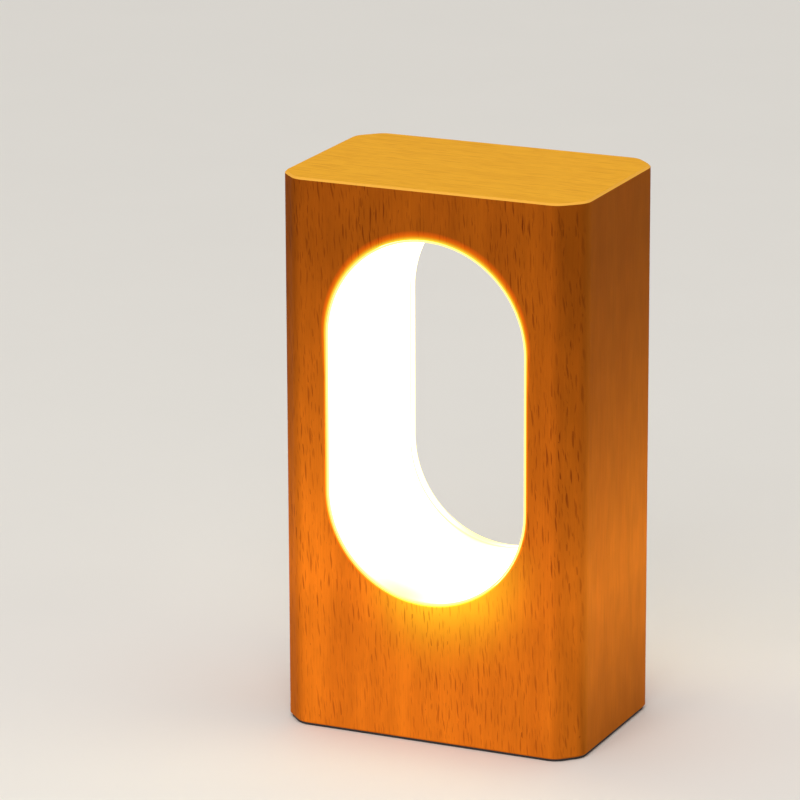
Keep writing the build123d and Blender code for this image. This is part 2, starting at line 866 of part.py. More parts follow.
os.makedirs("parts", exist_ok=True)
for name, shape in nodes.items():
    export_step(shape, f"parts/{name}.step")
print("lamp:", block_width, block_depth, lamp_height)
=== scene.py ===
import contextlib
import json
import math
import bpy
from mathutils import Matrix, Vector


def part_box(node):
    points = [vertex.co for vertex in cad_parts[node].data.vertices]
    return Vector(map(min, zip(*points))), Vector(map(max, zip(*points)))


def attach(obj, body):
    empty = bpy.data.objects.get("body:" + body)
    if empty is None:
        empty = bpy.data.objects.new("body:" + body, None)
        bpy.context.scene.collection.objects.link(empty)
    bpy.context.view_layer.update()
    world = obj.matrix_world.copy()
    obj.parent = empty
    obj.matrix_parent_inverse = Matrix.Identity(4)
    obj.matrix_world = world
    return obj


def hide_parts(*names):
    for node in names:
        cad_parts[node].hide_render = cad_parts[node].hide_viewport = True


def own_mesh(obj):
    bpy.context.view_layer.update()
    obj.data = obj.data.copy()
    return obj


bl_info = {
    "name": "Beech Window Lamp",
    "version": (1, 0, 0),
    "blender": (4, 5, 0),
    "location": "View3D > Sidebar > Lamp",
    "description": "Finishes and fine parts of a beech block lamp with a glowing window",
    "category": "Object",
}

import bmesh
import bpy
from bpy.props import FloatProperty, FloatVectorProperty, PointerProperty
from mathutils import Matrix, Vector

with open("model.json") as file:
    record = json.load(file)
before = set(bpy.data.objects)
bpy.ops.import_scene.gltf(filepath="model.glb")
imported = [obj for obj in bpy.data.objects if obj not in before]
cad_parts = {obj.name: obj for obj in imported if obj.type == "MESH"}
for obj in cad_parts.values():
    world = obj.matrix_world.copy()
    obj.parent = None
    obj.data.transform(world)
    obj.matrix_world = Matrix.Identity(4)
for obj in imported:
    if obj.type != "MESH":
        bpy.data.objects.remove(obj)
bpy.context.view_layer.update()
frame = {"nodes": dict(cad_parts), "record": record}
MM = 0.001
# Points closer than this are one, and edges less sharp than this look round
MERGE = 0.002 * MM
SMOOTH_ANGLE = math.radians(35.0)
# How square to an axis a face or an edge has to be to be picked for it
SQUARE = 0.9
# Steps in a turn of a wound piece, and sides of round pieces from large to thin
TURN_STEPS = 24
LARGE_ROUND = 64
ROUND = 32
SMALL_ROUND = 16
WIRE_ROUND = 12

# Where the picture is taken from, in metres and radians, and the lens in millimetres
CAMERA_PLACE = (0.4765, -1.0852, 0.4230)
CAMERA_YAW = 0.4279
CAMERA_PITCH = 0.2808
CAMERA_ROLL = -0.0039
CAMERA_LENS = 225.34
CAMERA_SENSOR = 36.0


def middle(node):
    """The middle of a CAD node's box."""
    low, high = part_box(node)
    return (low + high) / 2


# The block, its window and the lining, read from the frame
BLOCK_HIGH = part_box("wood_body")[1]
LINING_LOW, LINING_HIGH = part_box("diffuser_ring")
LINING_FIT = 0.15 * MM
LINING_FLARE = 4.0 * MM
WINDOW_MIDDLE = (LINING_LOW.z + LINING_HIGH.z) / 2
WINDOW_HALF_STRAIGHT = (LINING_HIGH.z - LINING_LOW.z) / 2 - LINING_HIGH.x
WINDOW_HALF_WIDTH = LINING_FIT + max(
    vert.co.x for vert in frame["nodes"]["diffuser_ring"].data.vertices
    if vert.co.y > LINING_HIGH.y - LINING_FIT)
WINDOW_FOOT = WINDOW_MIDDLE - WINDOW_HALF_STRAIGHT

# The button's axis, and how far from the middle the floor of the recesses lies
BUTTON_AXIS = middle("button_bezel")
BUSH_FLANGE = 0.6 * MM
RECESS_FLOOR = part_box("button_bezel")[1].y - BUSH_FLANGE


def slot_colour(slot):
    """A material slot's colour in the record, as red, green and blue."""
    for entry in frame["record"]["materials"]:
        if entry["slot"] == slot:
            return tuple(entry["base_color"][:3])
    raise RuntimeError(f"the record has no slot {slot}")


def colour_property(name, description, default):
    return FloatVectorProperty(
        name=name, description=description, default=default, subtype="COLOR", min=0.0, max=1.0)


def length_property(name, description, default):
    return FloatProperty(name=name, description=description, default=default, unit="LENGTH")


def share_property(name, description, default):
    return FloatProperty(
        name=name, description=description, default=default, subtype="FACTOR", min=0.0, max=1.0)


def level_property(name, description, default, unit="NONE"):
    return FloatProperty(name=name, description=description, default=default, unit=unit)


class BeechLook(bpy.types.PropertyGroup):
    """Colours and grain of the block."""

    light_wood: colour_property("Light wood", "Pale bands of the long grain", (0.40, 0.092, 0.0045))
    dark_wood: colour_property("Dark wood", "Deeper bands of the long grain", (0.33, 0.072, 0.0037))
    # The narrow sides: browner side grain, made darker than the front with painted shade
    side_wood: colour_property("Side wood", "The two narrow sides", (0.335, 0.088, 0.0055))
    fleck: colour_property("Fleck", "Short spindles in the front and the back", (0.16, 0.026, 0.0018))
    # End grain of the top and the underside, made lighter and more golden by painted sheen
    end_grain: colour_property("End grain", "The top and the underside", (0.80, 0.385, 0.026))
    end_dash: colour_property("End dash", "Short lines in the end grain", (0.68, 0.305, 0.018))
    # A painted highlight on the edges round the top, where the light catches them
    broken_edge: colour_property("Broken edge", "Sanded edges round the top", (0.95, 0.48, 0.065))
    fleck_length: length_property("Fleck length", "Half the length of a middling fleck", 2.3 * MM)
    fleck_width: length_property("Fleck width", "Half the width of a middling fleck", 0.21 * MM)
    # Painted shade that darkens the cut corners beside the faces
    corner_tone: share_property("Corner tone", "How deep the cut corners look beside the faces", 0.73)
    recess_shade: share_property("Recess shade", "How much deeper the floor of a recess looks", 0.4)
    roughness: share_property("Roughness", "Gloss of the oiled wood", 0.5)


class GlowLook(bpy.types.PropertyGroup):
    """The light of the lining and what it does to the wood beside it."""

    core: colour_property("Core", "The lining over the LEDs", (1.0, 0.96, 0.80))
    edge: colour_property("Edge", "The lining at its two lips", (0.62, 0.50, 0.15))
    thin: colour_property("Thin", "The lining where the strip's ends leave a gap", (0.66, 0.60, 0.20))
    thin_place: length_property(
        "Thin place", "How far left of the middle the light is thinnest", 7.0 * MM)
    thin_reach: length_property("Thin reach", "How far along the lining the light is thin", 21.0 * MM)
    far_edge: length_property(
        "Far edge", "Width of the yellow line along the back of the lining", 1.1 * MM)
    strength: level_property("Strength", "How strongly the lining shines", 1.6)
    halo_reach: length_property("Halo reach", "How far the light soaks into the rim", 2.3 * MM)
    pool_colour: colour_property("Pool", "The light under the window", (0.44, 0.465, 0.014))
    pool_rim: colour_property("Pool rim", "The pool where it fades into the wood", (0.42, 0.26, 0.006))
    pool_fleck: colour_property(
        "Pool on a fleck", "How much of the pool a fleck shows", (0.45, 0.28, 0.2))
    pool_reach: length_property("Pool reach", "How far the light spreads under the window", 24.0 * MM)
    pool_shift: length_property(
        "Pool shift", "How far the pool lies to the right of the middle", 8.0 * MM)
    foot_light: level_property(
        "Foot light", "The lamp's own light on the lower half, times the wood", 1.2)


class ButtonLook(bpy.types.PropertyGroup):
    """Sizes of the button, its spring and bush, and the light pipe beside it."""

    radius: length_property("Radius", "Radius of the cap", 4.0 * MM)
    rim: length_property("Rim", "Rounding of the cap's rim", 0.4 * MM)
    land: length_property("Land", "Flat band between the rim and the dish", 0.24 * MM)
    dish: length_property("Dish", "Depth of the hollow in the cap's face", 0.15 * MM)
    ring_pitch: length_property("Ring pitch", "From one cut ring of the face to the next", 0.3 * MM)
    ring_depth: length_property("Ring depth", "Depth of a cut ring", 0.025 * MM)
    roof: length_property("Roof", "Thickness of the cap behind its face", 1.8 * MM)
    skin: length_property("Skin", "Wall round the cap's hollow", 0.6 * MM)
    flange: length_property("Flange", "Thickness of the flange that keeps the cap in", 0.8 * MM)
    boss: length_property("Boss", "Radius of the boss round the plunger", 2.2 * MM)
    socket: length_property("Socket", "Radius of the plunger's socket", 1.58 * MM)
    clearance: length_property("Clearance", "Between the cap and its bush", 0.1 * MM)
    spring_wire: length_property("Spring wire", "Radius of the return spring's wire", 0.2 * MM)
    spring_turns: level_property("Spring turns", "Turns of the return spring", 3.5)
    bush_wall: length_property("Bush wall", "Wall of the bush's barrel", 0.95 * MM)
    bush_flange: length_property("Bush flange", "Thickness of the bush's flange", BUSH_FLANGE)
    bush_edge: length_property("Bush edge", "Rounding of the bush's flange", 0.25 * MM)
    service_wall: length_property("Service wall", "Wood between the back face and the cavity", 7.0 * MM)
    pipe_radius: length_property("Pipe radius", "Radius of the light pipe", 1.0 * MM)
    pipe_collar: length_property("Pipe collar", "Thickness of the light pipe's collar", 0.8 * MM)
    pipe_dome: length_property("Pipe dome", "Rounding of the light pipe's end", 0.7 * MM)


class InletLook(bpy.types.PropertyGroup):
    """Sizes of the inlet's sleeve."""

    wall: length_property("Wall", "Sheet of the sleeve", 0.3 * MM)
    leg: length_property("Leg", "Width of a leg", 1.1 * MM)


class ScrewLook(bpy.types.PropertyGroup):
    """Sizes of the cover's and the board's screws."""

    cover_shank: length_property("Cover shank", "Thread radius of the cover's screws", 1.1 * MM)
    cover_sink: length_property("Cover sink", "Height of the countersunk head", 1.3 * MM)
    sharp_edge: length_property("Sharp edge", "Upright edge of the countersunk head", 0.1 * MM)
    board_shank: length_property("Board shank", "Thread radius of the board's screws", 0.95 * MM)
    board_head: length_property("Board head", "Height of the pan head", 1.2 * MM)
    head_rounding: share_property("Head rounding", "Rounded part of the pan head's radius", 0.4)
    pitch: length_property("Pitch", "From one turn of the thread to the next", 0.9 * MM)
    thread_depth: length_property("Thread depth", "Height of the thread over its core", 0.3 * MM)
    cross_reach: length_property("Cross reach", "Half the length of the cross recess", 1.15 * MM)
    cross_width: length_property("Cross width", "Width of the cross recess", 0.5 * MM)
    cross_depth: length_property("Cross depth", "Depth of the cross recess", 0.8 * MM)
    cross_taper: share_property("Cross taper", "Width at the foot of the recess", 0.5)


class BoardLook(bpy.types.PropertyGroup):
    """Sizes of the small parts on the control board."""

    chip_edge: length_property("Chip edge", "Break of a chip's edges", 0.1 * MM)
    chip_taper: share_property("Chip taper", "Width of a chip's face beside its foot", 0.93)
    dimple: length_property("Dimple", "Radius of the mark at a chip's first leg", 0.3 * MM)
    leg_width: length_property("Leg width", "Width of a chip's leg", 0.42 * MM)
    leg_sheet: length_property("Leg sheet", "Thickness of a leg", 0.15 * MM)
    leg_pitch: length_property("Leg pitch", "From one leg to the next", 1.27 * MM)
    leg_shoulder: length_property(
        "Leg shoulder", "Height of a leg's shoulder over the board", 0.85 * MM)
    leg_foot: length_property("Leg foot", "Length of a leg's foot", 0.45 * MM)
    end_cap: length_property("End cap", "Length of a small part's metal end", 0.35 * MM)
    end_plating: length_property("End plating", "Thickness of a metal end's plating", 0.02 * MM)


class PadLook(bpy.types.PropertyGroup):
    """Sizes of the non-slip pad."""

    corner_round: length_property("Corner round", "Rounding beside each cut corner", 4.5 * MM)
    edge: length_property("Edge", "Rounding of the pad's rim", 0.12 * MM)
    margin: length_property("Margin", "Plain band round the ribbed field", 3.0 * MM)
    pitch: length_property("Rib pitch", "From one rib to the next", 2.4 * MM)
    groove: length_property("Groove", "Width of the groove between two ribs", 0.7 * MM)
    depth: length_property("Groove depth", "Depth of a groove", 0.15 * MM)


class StageLook(bpy.types.PropertyGroup):
    """Floor and lights."""

    floor: colour_property("Floor", "The pale floor", (0.80, 0.775, 0.73))
    far_floor: share_property("Far floor", "How much paler the floor looks far behind the lamp", 0.3)
    sky_colour: colour_property("Sky colour", "Tint of the even light", (1.0, 0.985, 0.96))
    sky: level_property("Sky", "Level of the even light from all round", 0.52)
    key: level_property("Key", "Power of the large lamp over the front", 6.5, "POWER")
    overhead: level_property("Overhead", "Power of the large lamp over the table", 3.5, "POWER")


def added(name):
    """The primitive just added, named, with its place moved into its mesh."""
    piece = bpy.context.object
    piece.name = name
    piece.data.name = name
    bpy.ops.object.transform_apply(location=True, rotation=True, scale=True)
    return piece


def alone(piece):
    """Only this piece is selected."""
    bpy.ops.object.select_all(action="DESELECT")
    piece.select_set(True)
    bpy.context.view_layer.objects.active = piece


@contextlib.contextmanager
def editing(piece, kind):
    """Edit mode on one piece, with nothing selected in it at first."""
    alone(piece)
    bpy.ops.object.mode_set(mode="EDIT")
    bpy.ops.mesh.select_mode(type=kind)
    bpy.ops.mesh.select_all(action="DESELECT")
    yield
    bpy.ops.object.mode_set(mode="OBJECT")


def pick(piece, kind, test):
    """Select the points, edges or faces whose middle and direction pass a test."""
    mesh = bmesh.from_edit_mesh(piece.data)
    bpy.ops.mesh.select_all(action="DESELECT")
    found = False
    for item in {"VERT": mesh.verts, "EDGE": mesh.edges, "FACE": mesh.faces}[kind]:
        if kind == "EDGE":
            first, second = (vert.co for vert in item.verts)
            spot = (first + second) / 2
            direction = (second - first).normalized()
        else:
            spot = item.co if kind == "VERT" else item.calc_center_median()
            direction = item.normal
        if test(spot, direction):
            item.select_set(True)
            found = True
    if not found:
        raise RuntimeError(f"nothing to select on {piece.name}")
    mesh.select_flush_mode()
    bmesh.update_edit_mesh(piece.data)


def extruded(step):
    """Extrude what is selected and move it by a step."""
    bpy.ops.mesh.extrude_region_move(TRANSFORM_OT_translate={"value": step})


def outward():
    """Turn all faces of the piece in edit mode outward."""
    bpy.ops.mesh.select_all(action="SELECT")
    bpy.ops.mesh.normals_make_consistent(inside=False)


def applied(piece, kind, **settings):
    """Add a modifier with these settings and apply it."""
    alone(piece)
    modifier = piece.modifiers.new(kind.title(), kind)
    for name, value in settings.items():
        setattr(modifier, name, value)
    bpy.ops.object.modifier_apply(modifier=modifier.name)
    return piece


def cut(piece, cutter):
    """Take one solid out of another and remove the cutter."""
    applied(piece, "BOOLEAN", operation="DIFFERENCE", solver="EXACT", object=cutter)
    bpy.data.objects.remove(cutter, do_unlink=True)
    return piece


def eased(piece, width, limit=30.0):
    """Break all edges of a piece that are sharper than a limit in degrees."""
    return applied(piece, "BEVEL", width=width, segments=2, limit_method="ANGLE",
                   angle_limit=math.radians(limit))


def box_piece(name, low, high):
    """A box from its lowest to its highest corner, to be shaped further."""
    low, high = Vector(low), Vector(high)
    bpy.ops.object.select_all(action="DESELECT")
    bpy.ops.mesh.primitive_cube_add(size=1.0, location=(low + high) / 2)
    bpy.context.object.scale = high - low
    return added(name)


def ring_piece(name, sides, radius, place, rotation=(0.0, 0.0, 0.0)):
    """A ring of edges, to be extruded or wound."""
    bpy.ops.object.select_all(action="DESELECT")
    bpy.ops.mesh.primitive_circle_add(
        vertices=sides, radius=radius, fill_type="NOTHING", location=place, rotation=rotation)
    return added(name)


def wound(piece, sides, **settings):
    """Wind an outline of so many sides up an axis and close its two ends."""
    applied(piece, "SCREW", use_smooth_shade=False, **settings)
    with editing(piece, "EDGE"):
        bpy.ops.mesh.select_all(action="SELECT")
        bpy.ops.mesh.fill_holes(sides=sides)
        outward()


# How a ring is turned to stand across each axis, and which way it grows
TURN_ALONG = {"Y": (-math.pi / 2, 0.0, 0.0), "Z": (0.0, 0.0, 0.0)}
STEP_ALONG = {"Y": Vector((0, 1, 0)), "Z": Vector((0, 0, 1))}


def turned(name, profile, centre, along="Y", sides=LARGE_ROUND, closed=False):
    """A turned piece from points of radius and height along the axis, ring by ring.

    A closed profile comes back to its first ring, as on a bush; an open one is capped."""
    step = STEP_ALONG[along]
    flat = Vector((1, 1, 1)) - step
    base = Vector(centre)
    base = base - step * base.dot(step)
    radius, height = profile[0]
    piece = ring_piece(name, sides, radius, base + step * height, TURN_ALONG[along])
    rings = [*profile[1:], profile[0]] if closed else profile[1:]
    with editing(piece, "EDGE"):
        bpy.ops.mesh.select_all(action="SELECT")
        if not closed:
            bpy.ops.mesh.edge_face_add()
            bpy.ops.mesh.select_all(action="SELECT")
        for next_radius, next_height in rings:
            extruded(step * (next_height - height))
            bpy.ops.transform.resize(value=flat * (next_radius / radius) + step,
                                     center_override=base + step * next_height)
            radius, height = next_radius, next_height
        bpy.ops.mesh.select_all(action="SELECT")
        bpy.ops.mesh.remove_doubles(threshold=MERGE)
        outward()
    return piece


def arc(radius, height, size, start, end, steps=4):
    """Points of radius and height round a corner, from one angle to another in degrees."""
    turns = [math.radians(start + (end - start) * step / steps) for step in range(steps + 1)]
    return [(radius + size * math.cos(turn), height + size * math.sin(turn)) for turn in turns]


def copied(piece, name, matrix):
    """A copy with a mesh of its own, moved by a matrix."""
    twin = piece.copy()
    twin.data = piece.data.copy()
    twin.name = name
    twin.data.name = name
    twin.data.transform(matrix)
    bpy.context.scene.collection.objects.link(twin)
    return twin


def joined(pieces, name):
    """Several like pieces as one."""
    alone(pieces[0])
    for piece in pieces:
        piece.select_set(True)
    if len(pieces) > 1:
        bpy.ops.object.join()
    whole = bpy.context.view_layer.objects.active
    whole.name = name
    whole.data.name = name
    return whole


def fit(piece, material, body, stands_for=()):
    """Give a finished piece its material and the body it rides on."""
    alone(piece)
    bpy.ops.object.shade_smooth_by_angle(angle=SMOOTH_ANGLE)
    piece.data.materials.clear()
    piece.data.materials.append(material)
    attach(piece, body)
    if stands_for:
        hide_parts(*stands_for)
    return piece


def dressed(node, material):
    """A CAD node whose shape is right, with a better material."""
    mesh = frame["nodes"][node].data
    if not mesh.materials:
        mesh.materials.append(material)
    for index in range(len(mesh.materials)):
        mesh.materials[index] = material


def islands(node):
    """The boxes of the loose solids in a CAD node, read from a merged copy."""
    copy = bmesh.new()
    copy.from_mesh(frame["nodes"][node].data)
    bmesh.ops.remove_doubles(copy, verts=copy.verts, dist=MERGE / 2)
    left = set(copy.verts)
    boxes = []
    while left:
        group = [left.pop()]
        for vert in group:
            for edge in vert.link_edges:
                other = edge.other_vert(vert)
                if other in left:
                    left.remove(other)
                    group.append(other)
        low = Vector([min(vert.co[axis] for vert in group) for axis in range(3)])
        high = Vector([max(vert.co[axis] for vert in group) for axis in range(3)])
        boxes.append((low, high))
    copy.free()
    return sorted(boxes, key=lambda box: tuple(round(value, 6) for value in box[0]))


class Value:
    """What a node puts out, to reckon with: each step adds a Math node."""

    def __init__(self, socket):
        self.socket = socket

    def __add__(self, other):
        return calc("ADD", self, other)

    def __sub__(self, other):
        return calc("SUBTRACT", self, other)

    def __rsub__(self, other):
        return calc("SUBTRACT", other, self)

    def __mul__(self, other):
        return calc("MULTIPLY", self, other)

    def __truediv__(self, other):
        return calc("DIVIDE", self, other)

    def __pow__(self, other):
        return calc("POWER", self, other)

    def __lt__(self, other):
        return calc("LESS_THAN", self, other)

    def __gt__(self, other):
        return calc("GREATER_THAN", self, other)

    def __abs__(self):
        return calc("ABSOLUTE", self)

    __radd__ = __add__


def tree_of(values):
    """The node tree that these values belong to."""
    return next(value.socket.id_data for value in values if isinstance(value, Value))


def feed(socket, value):
    """Link a value to a socket, or set the socket's own one."""
    if isinstance(value, Value):
        socket.id_data.links.new(value.socket, socket)
    elif hasattr(socket.default_value, "__len__") and len(socket.default_value) == 4:
        socket.default_value = (*value[:3], 1.0)
    else:
        socket.default_value = value


def new_node(tree, kind, values=(), **settings):
    """A node with its settings, and with its first inputs fed in order."""
    node = tree.nodes.new(kind)
    for name, value in settings.items():
        setattr(node, name, value)
    for socket, value in zip(node.inputs, values):
        feed(socket, value)
    return node


def fill(node, **values):
    """Feed a node's inputs by their names, with underscores for blanks."""
    for name, value in values.items():
        feed(node.inputs[name.replace("_", " ")], value)
    return node


def calc(operation, *values, clamp=False):
    """A Math node on these values."""
    node = new_node(tree_of(values), "ShaderNodeMath", values, operation=operation, use_clamp=clamp)
    return Value(node.outputs[0])


def vector_calc(operation, *values):
    """A Vector Math node on these values."""
    node = new_node(tree_of(values), "ShaderNodeVectorMath", values, operation=operation)
    return Value(node.outputs["Value" if operation == "LENGTH" else "Vector"])


def scaled(colour, factor):
    """A colour or vector times a number."""
    node = new_node(tree_of((colour, factor)), "ShaderNodeVectorMath", (colour,), operation="SCALE")
    return Value(fill(node, Scale=factor).outputs["Vector"])


def spread(value, span, result=(0.0, 1.0), kind="LINEAR"):
    """Map a value from one span to another, held at both ends."""
    node = new_node(tree_of((value,)), "ShaderNodeMapRange", (value, *span, *result),
                    interpolation_type=kind, clamp=True)
    return Value(node.outputs["Result"])


def blended(factor, first, second, blend_type="MIX"):
    """A colour between two others, or two colours multiplied."""
    node = new_node(tree_of((factor, first, second)), "ShaderNodeMix", (factor,),
                    data_type="RGBA", blend_type=blend_type)
    feed(node.inputs[6], first)
    feed(node.inputs[7], second)
    return Value(node.outputs[2])


# Nearly all of a noise lies in this span
NOISE_SPAN = (0.3, 0.7)


def noise(vector, detail=2.0, scale=1.0):
    """Noise from 0 to 1."""
    node = new_node(tree_of((vector,)), "ShaderNodeTexNoise", noise_dimensions="3D")
    return Value(fill(node, Vector=vector, Scale=scale, Detail=detail).outputs["Fac"])


def clouds(place, size, detail=2.0):
    """Noise whose features have this size along each axis, in metres."""
    return noise(vector_calc("MULTIPLY", place, tuple(1 / part for part in size)), detail)


def varied(value, contrast, span=NOISE_SPAN):
    """A tone about 1 that follows a value, up to its contrast either way."""
    return spread(value, span, (1.0 - contrast, 1.0 + contrast))


def colour_ramp(value, steps):
    """The colour of a ramp given as places from 0 to 1 with their colours."""
    ramp = new_node(tree_of((value,)), "ShaderNodeValToRGB", (value,))
    elements = ramp.color_ramp.elements
    for place, _ in steps[1:-1]:
        elements.new(place)
    for element, (place, colour) in zip(elements, steps):
        element.position = place
        element.color = (*colour, 1.0)
    return Value(ramp.outputs["Color"])


def axes(vector):
    """The three parts of a vector."""
    node = new_node(tree_of((vector,)), "ShaderNodeSeparateXYZ", (vector,))
    return [Value(part) for part in node.outputs]


def vector_of(*parts):
    """A vector from its parts; one that isn't given is 0."""
    return Value(new_node(tree_of(parts), "ShaderNodeCombineXYZ", parts).outputs[0])


def own_place(material):
    """The place on the piece itself, in metres."""
    return Value(new_node(material.node_tree, "ShaderNodeTexCoord").outputs["Object"])


def facing(material):
    """The three parts of the surface's direction."""
    return axes(Value(new_node(material.node_tree, "ShaderNodeNewGeometry").outputs["Normal"]))


def surface(name, **constants):
    """A new material with one Principled shader, whose plain values are set here."""
    material = bpy.data.materials.new(name)
    material.use_nodes = True
    tree = material.node_tree
    tree.nodes.clear()
    output = new_node(tree, "ShaderNodeOutputMaterial")
    shader = fill(new_node(tree, "ShaderNodeBsdfPrincipled"), **constants)
    tree.links.new(shader.outputs[0], output.inputs["Surface"])
    return material, shader


def bumped(shader, height, distance, strength):
    """Give a shader a relief."""
    bump = fill(new_node(shader.id_data, "ShaderNodeBump"),
                Strength=strength, Distance=distance, Height=height)
    fill(shader, Normal=Value(bump.outputs["Normal"]))


def group_tree(name, vectors, numbers, results):
    """An empty node group with named sockets: what it is given, and its end."""
    tree = bpy.data.node_groups.new(name, "ShaderNodeTree")
    for label in (*vectors, *numbers):
        kind = "NodeSocketVector" if label in vectors else "NodeSocketFloat"
        tree.interface.new_socket(label, in_out="INPUT", socket_type=kind)
    for label in results:
        tree.interface.new_socket(label, in_out="OUTPUT", socket_type="NodeSocketFloat")
    given = {socket.name: Value(socket) for socket in tree.nodes.new("NodeGroupInput").outputs}
    return given, tree.nodes.new("NodeGroupOutput")


def placed(group, **values):
    """What a node group puts out in a material, with its values by socket name."""
    node = new_node(tree_of(values.values()), "ShaderNodeGroup", node_tree=group)
    return {socket.name: Value(socket) for socket in fill(node, **values).outputs}


def once(build):
    """A node group that is built the first time it is asked for."""
    name = build.__name__.replace("_", " ").title()

    def found():
        if name not in bpy.data.node_groups:
            build(name)
        return bpy.data.node_groups[name]

    return found


@once
def window_rim(name):
    """How far a point lies outside the window's outline, in metres."""
    given, end = group_tree(name, ("Place",), (), ("Distance",))
    x, _, z = axes(given["Place"])
    past = calc("MAXIMUM", abs(z - WINDOW_MIDDLE) - WINDOW_HALF_STRAIGHT, 0.0)
    fill(end, Distance=calc("SQRT", x * x + past * past) - WINDOW_HALF_WIDTH)


# Slow and quick wander of the flecks: size of the noise in metres, and how far it moves them
FLECK_SWAY = ((20 * MM, 50 * MM, 12 * MM), 1.6 * MM)
FLECK_WAVE = ((3 * MM, 50 * MM, 3.5 * MM), 0.3 * MM)
# How deep a cell of flecks is, how their sizes and tones vary, and how sharp their rims are
FLECK_CELL_DEPTH = 50 * MM
FLECK_SIZES = (0.45, 1.45)
FLECK_TONES = (0.45, 1.0)
FLECK_SHARPNESS = 1.7


@once
def ray_flecks(name):
    """Spindles that stand along Z, one to a cell, from 0 to 1."""
    given, end = group_tree(
        name, ("Place",), ("Across", "Along", "Half Width", "Half Length", "Lean", "Share"), ("Mask",))
    x, y, z = axes(given["Place"])
    for size, reach in (FLECK_SWAY, FLECK_WAVE):
        x += (clouds(given["Place"], size) - 0.5) * reach
    x += z * given["Lean"]
    cell = vector_of(x / given["Across"], y / FLECK_CELL_DEPTH, z / given["Along"])
    cells = fill(new_node(tree_of((cell,)), "ShaderNodeTexVoronoi"), Vector=cell, Scale=1.0)
    off_x, _, off_z = axes(vector_calc("SUBTRACT", cell, Value(cells.outputs["Position"])))
    chances = new_node(cells.id_data, "ShaderNodeSeparateColor", (Value(cells.outputs["Color"]),))
    of_size, of_share, of_tone = (Value(chance) for chance in chances.outputs)
    size = spread(of_size, (0.0, 1.0), FLECK_SIZES)
    across = abs(off_x * given["Across"]) / (given["Half Width"] * size)
    along = off_z * given["Along"] / (given["Half Length"] * size)
    spindle = calc("MULTIPLY", 1.0 - across - along * along, FLECK_SHARPNESS, clamp=True)
    tone = spread(of_tone, (0.0, 1.0), FLECK_TONES)
    fill(end, Mask=spindle * tone * (of_share < given["Share"]))


# Detail of a mottle's fine and broad part, and the broad part's scale beside the fine one's
FINE_DETAIL = 3.0
BROAD_DETAIL = 1.0
BROAD_SCALE = 0.08


@once
def satin_mottle(name):
    """A fine mottle for moulded and coated surfaces: a tone about 1, and a height."""
    given, end = group_tree(name, ("Place",), ("Grain", "Contrast"), ("Tone", "Height"))
    place = vector_calc("DIVIDE", given["Place"], given["Grain"])
    fine = noise(place, FINE_DETAIL)
    broad = noise(place, BROAD_DETAIL, BROAD_SCALE)
    fill(end, Tone=varied((fine + broad) * 0.5, given["Contrast"]), Height=fine)


@once
def drawn_lines(name):
    """Fine lines left by rolling or drawing, along one axis."""
    given, end = group_tree(name, ("Place", "Line Size"), ("Contrast",), ("Tone", "Height"))
    line = noise(vector_calc("DIVIDE", given["Place"], given["Line Size"]))
    fill(end, Tone=varied(line, given["Contrast"]), Height=line)


@once
def turned_rings(name):
    """Fine rings of a lathe about an axis along Y."""
    given, end = group_tree(name, ("Place", "Axis"), ("Pitch", "Contrast"), ("Tone", "Height"))
    off = vector_calc("SUBTRACT", given["Place"], given["Axis"])
    radius = vector_calc("LENGTH", vector_calc("MULTIPLY", off, (1.0, 0.0, 1.0)))
    wave = calc("SINE", radius / given["Pitch"] * math.tau) * 0.5 + 0.5
    fill(end, Tone=varied(wave, given["Contrast"], (0.0, 1.0)), Height=wave)


# The upright grain: sizes across, across and along it, and how strongly it shows
BAND_SIZE = (9 * MM, 9 * MM, 110 * MM)
BAND_SPAN = (0.34, 0.66)
BANDS_ON_SIDES = 0.25
STREAK_SIZE = (0.34 * MM, 0.34 * MM, 9 * MM)
STREAK_CONTRAST = 0.06
MIST_SIZE = (5 * MM, 5 * MM, 14 * MM)
MIST_CONTRAST = 0.07


def long_grain(place, front, look):
    """Bands, streaks and mist of the upright grain: a colour and a height."""
    bands = spread(clouds(place, BAND_SIZE), BAND_SPAN)
    streaks = clouds(place, STREAK_SIZE, FINE_DETAIL)
    mist = clouds(place, MIST_SIZE)
    faces = blended(bands, look.light_wood, look.dark_wood)
    # The narrow sides hold painted shade in their colour as well as their own grain
    sides = blended(bands * BANDS_ON_SIDES, look.side_wood, look.dark_wood)
    tone = varied(streaks, STREAK_CONTRAST) * varied(mist, MIST_CONTRAST)
    return scaled(blended(front, sides, faces), tone), streaks


# Bold and faint flecks: the cells they stand in, their lean, and the share of cells with one; and
# how far the faint ones are shifted against the bold ones, and how strong they are
BOLD_FLECKS = {"Across": 1.9 * MM, "Along": 5.6 * MM, "Lean": 0.05, "Share": 0.9}
FAINT_FLECKS = {"Across": 1.3 * MM, "Along": 4.5 * MM, "Lean": 0.07, "Share": 0.85,
                "Half_Width": 0.15 * MM, "Half_Length": 1.5 * MM}
FAINT_SHIFT = (0.31, 0.17, 0.23)
FAINT_DEPTH = 0.65
# Patches where the flecks are fainter, and the foot of the block, where they are fainter too
PATCH_SIZE = (11 * MM, 11 * MM, 26 * MM)
PATCH_SPAN = (0.35, 0.62)
PATCH_DEPTH = (0.45, 1.0)
FOOT_SPAN = (0.1 * BLOCK_HIGH.z, 0.7 * BLOCK_HIGH.z)
FOOT_DEPTH = (0.8, 1.0)


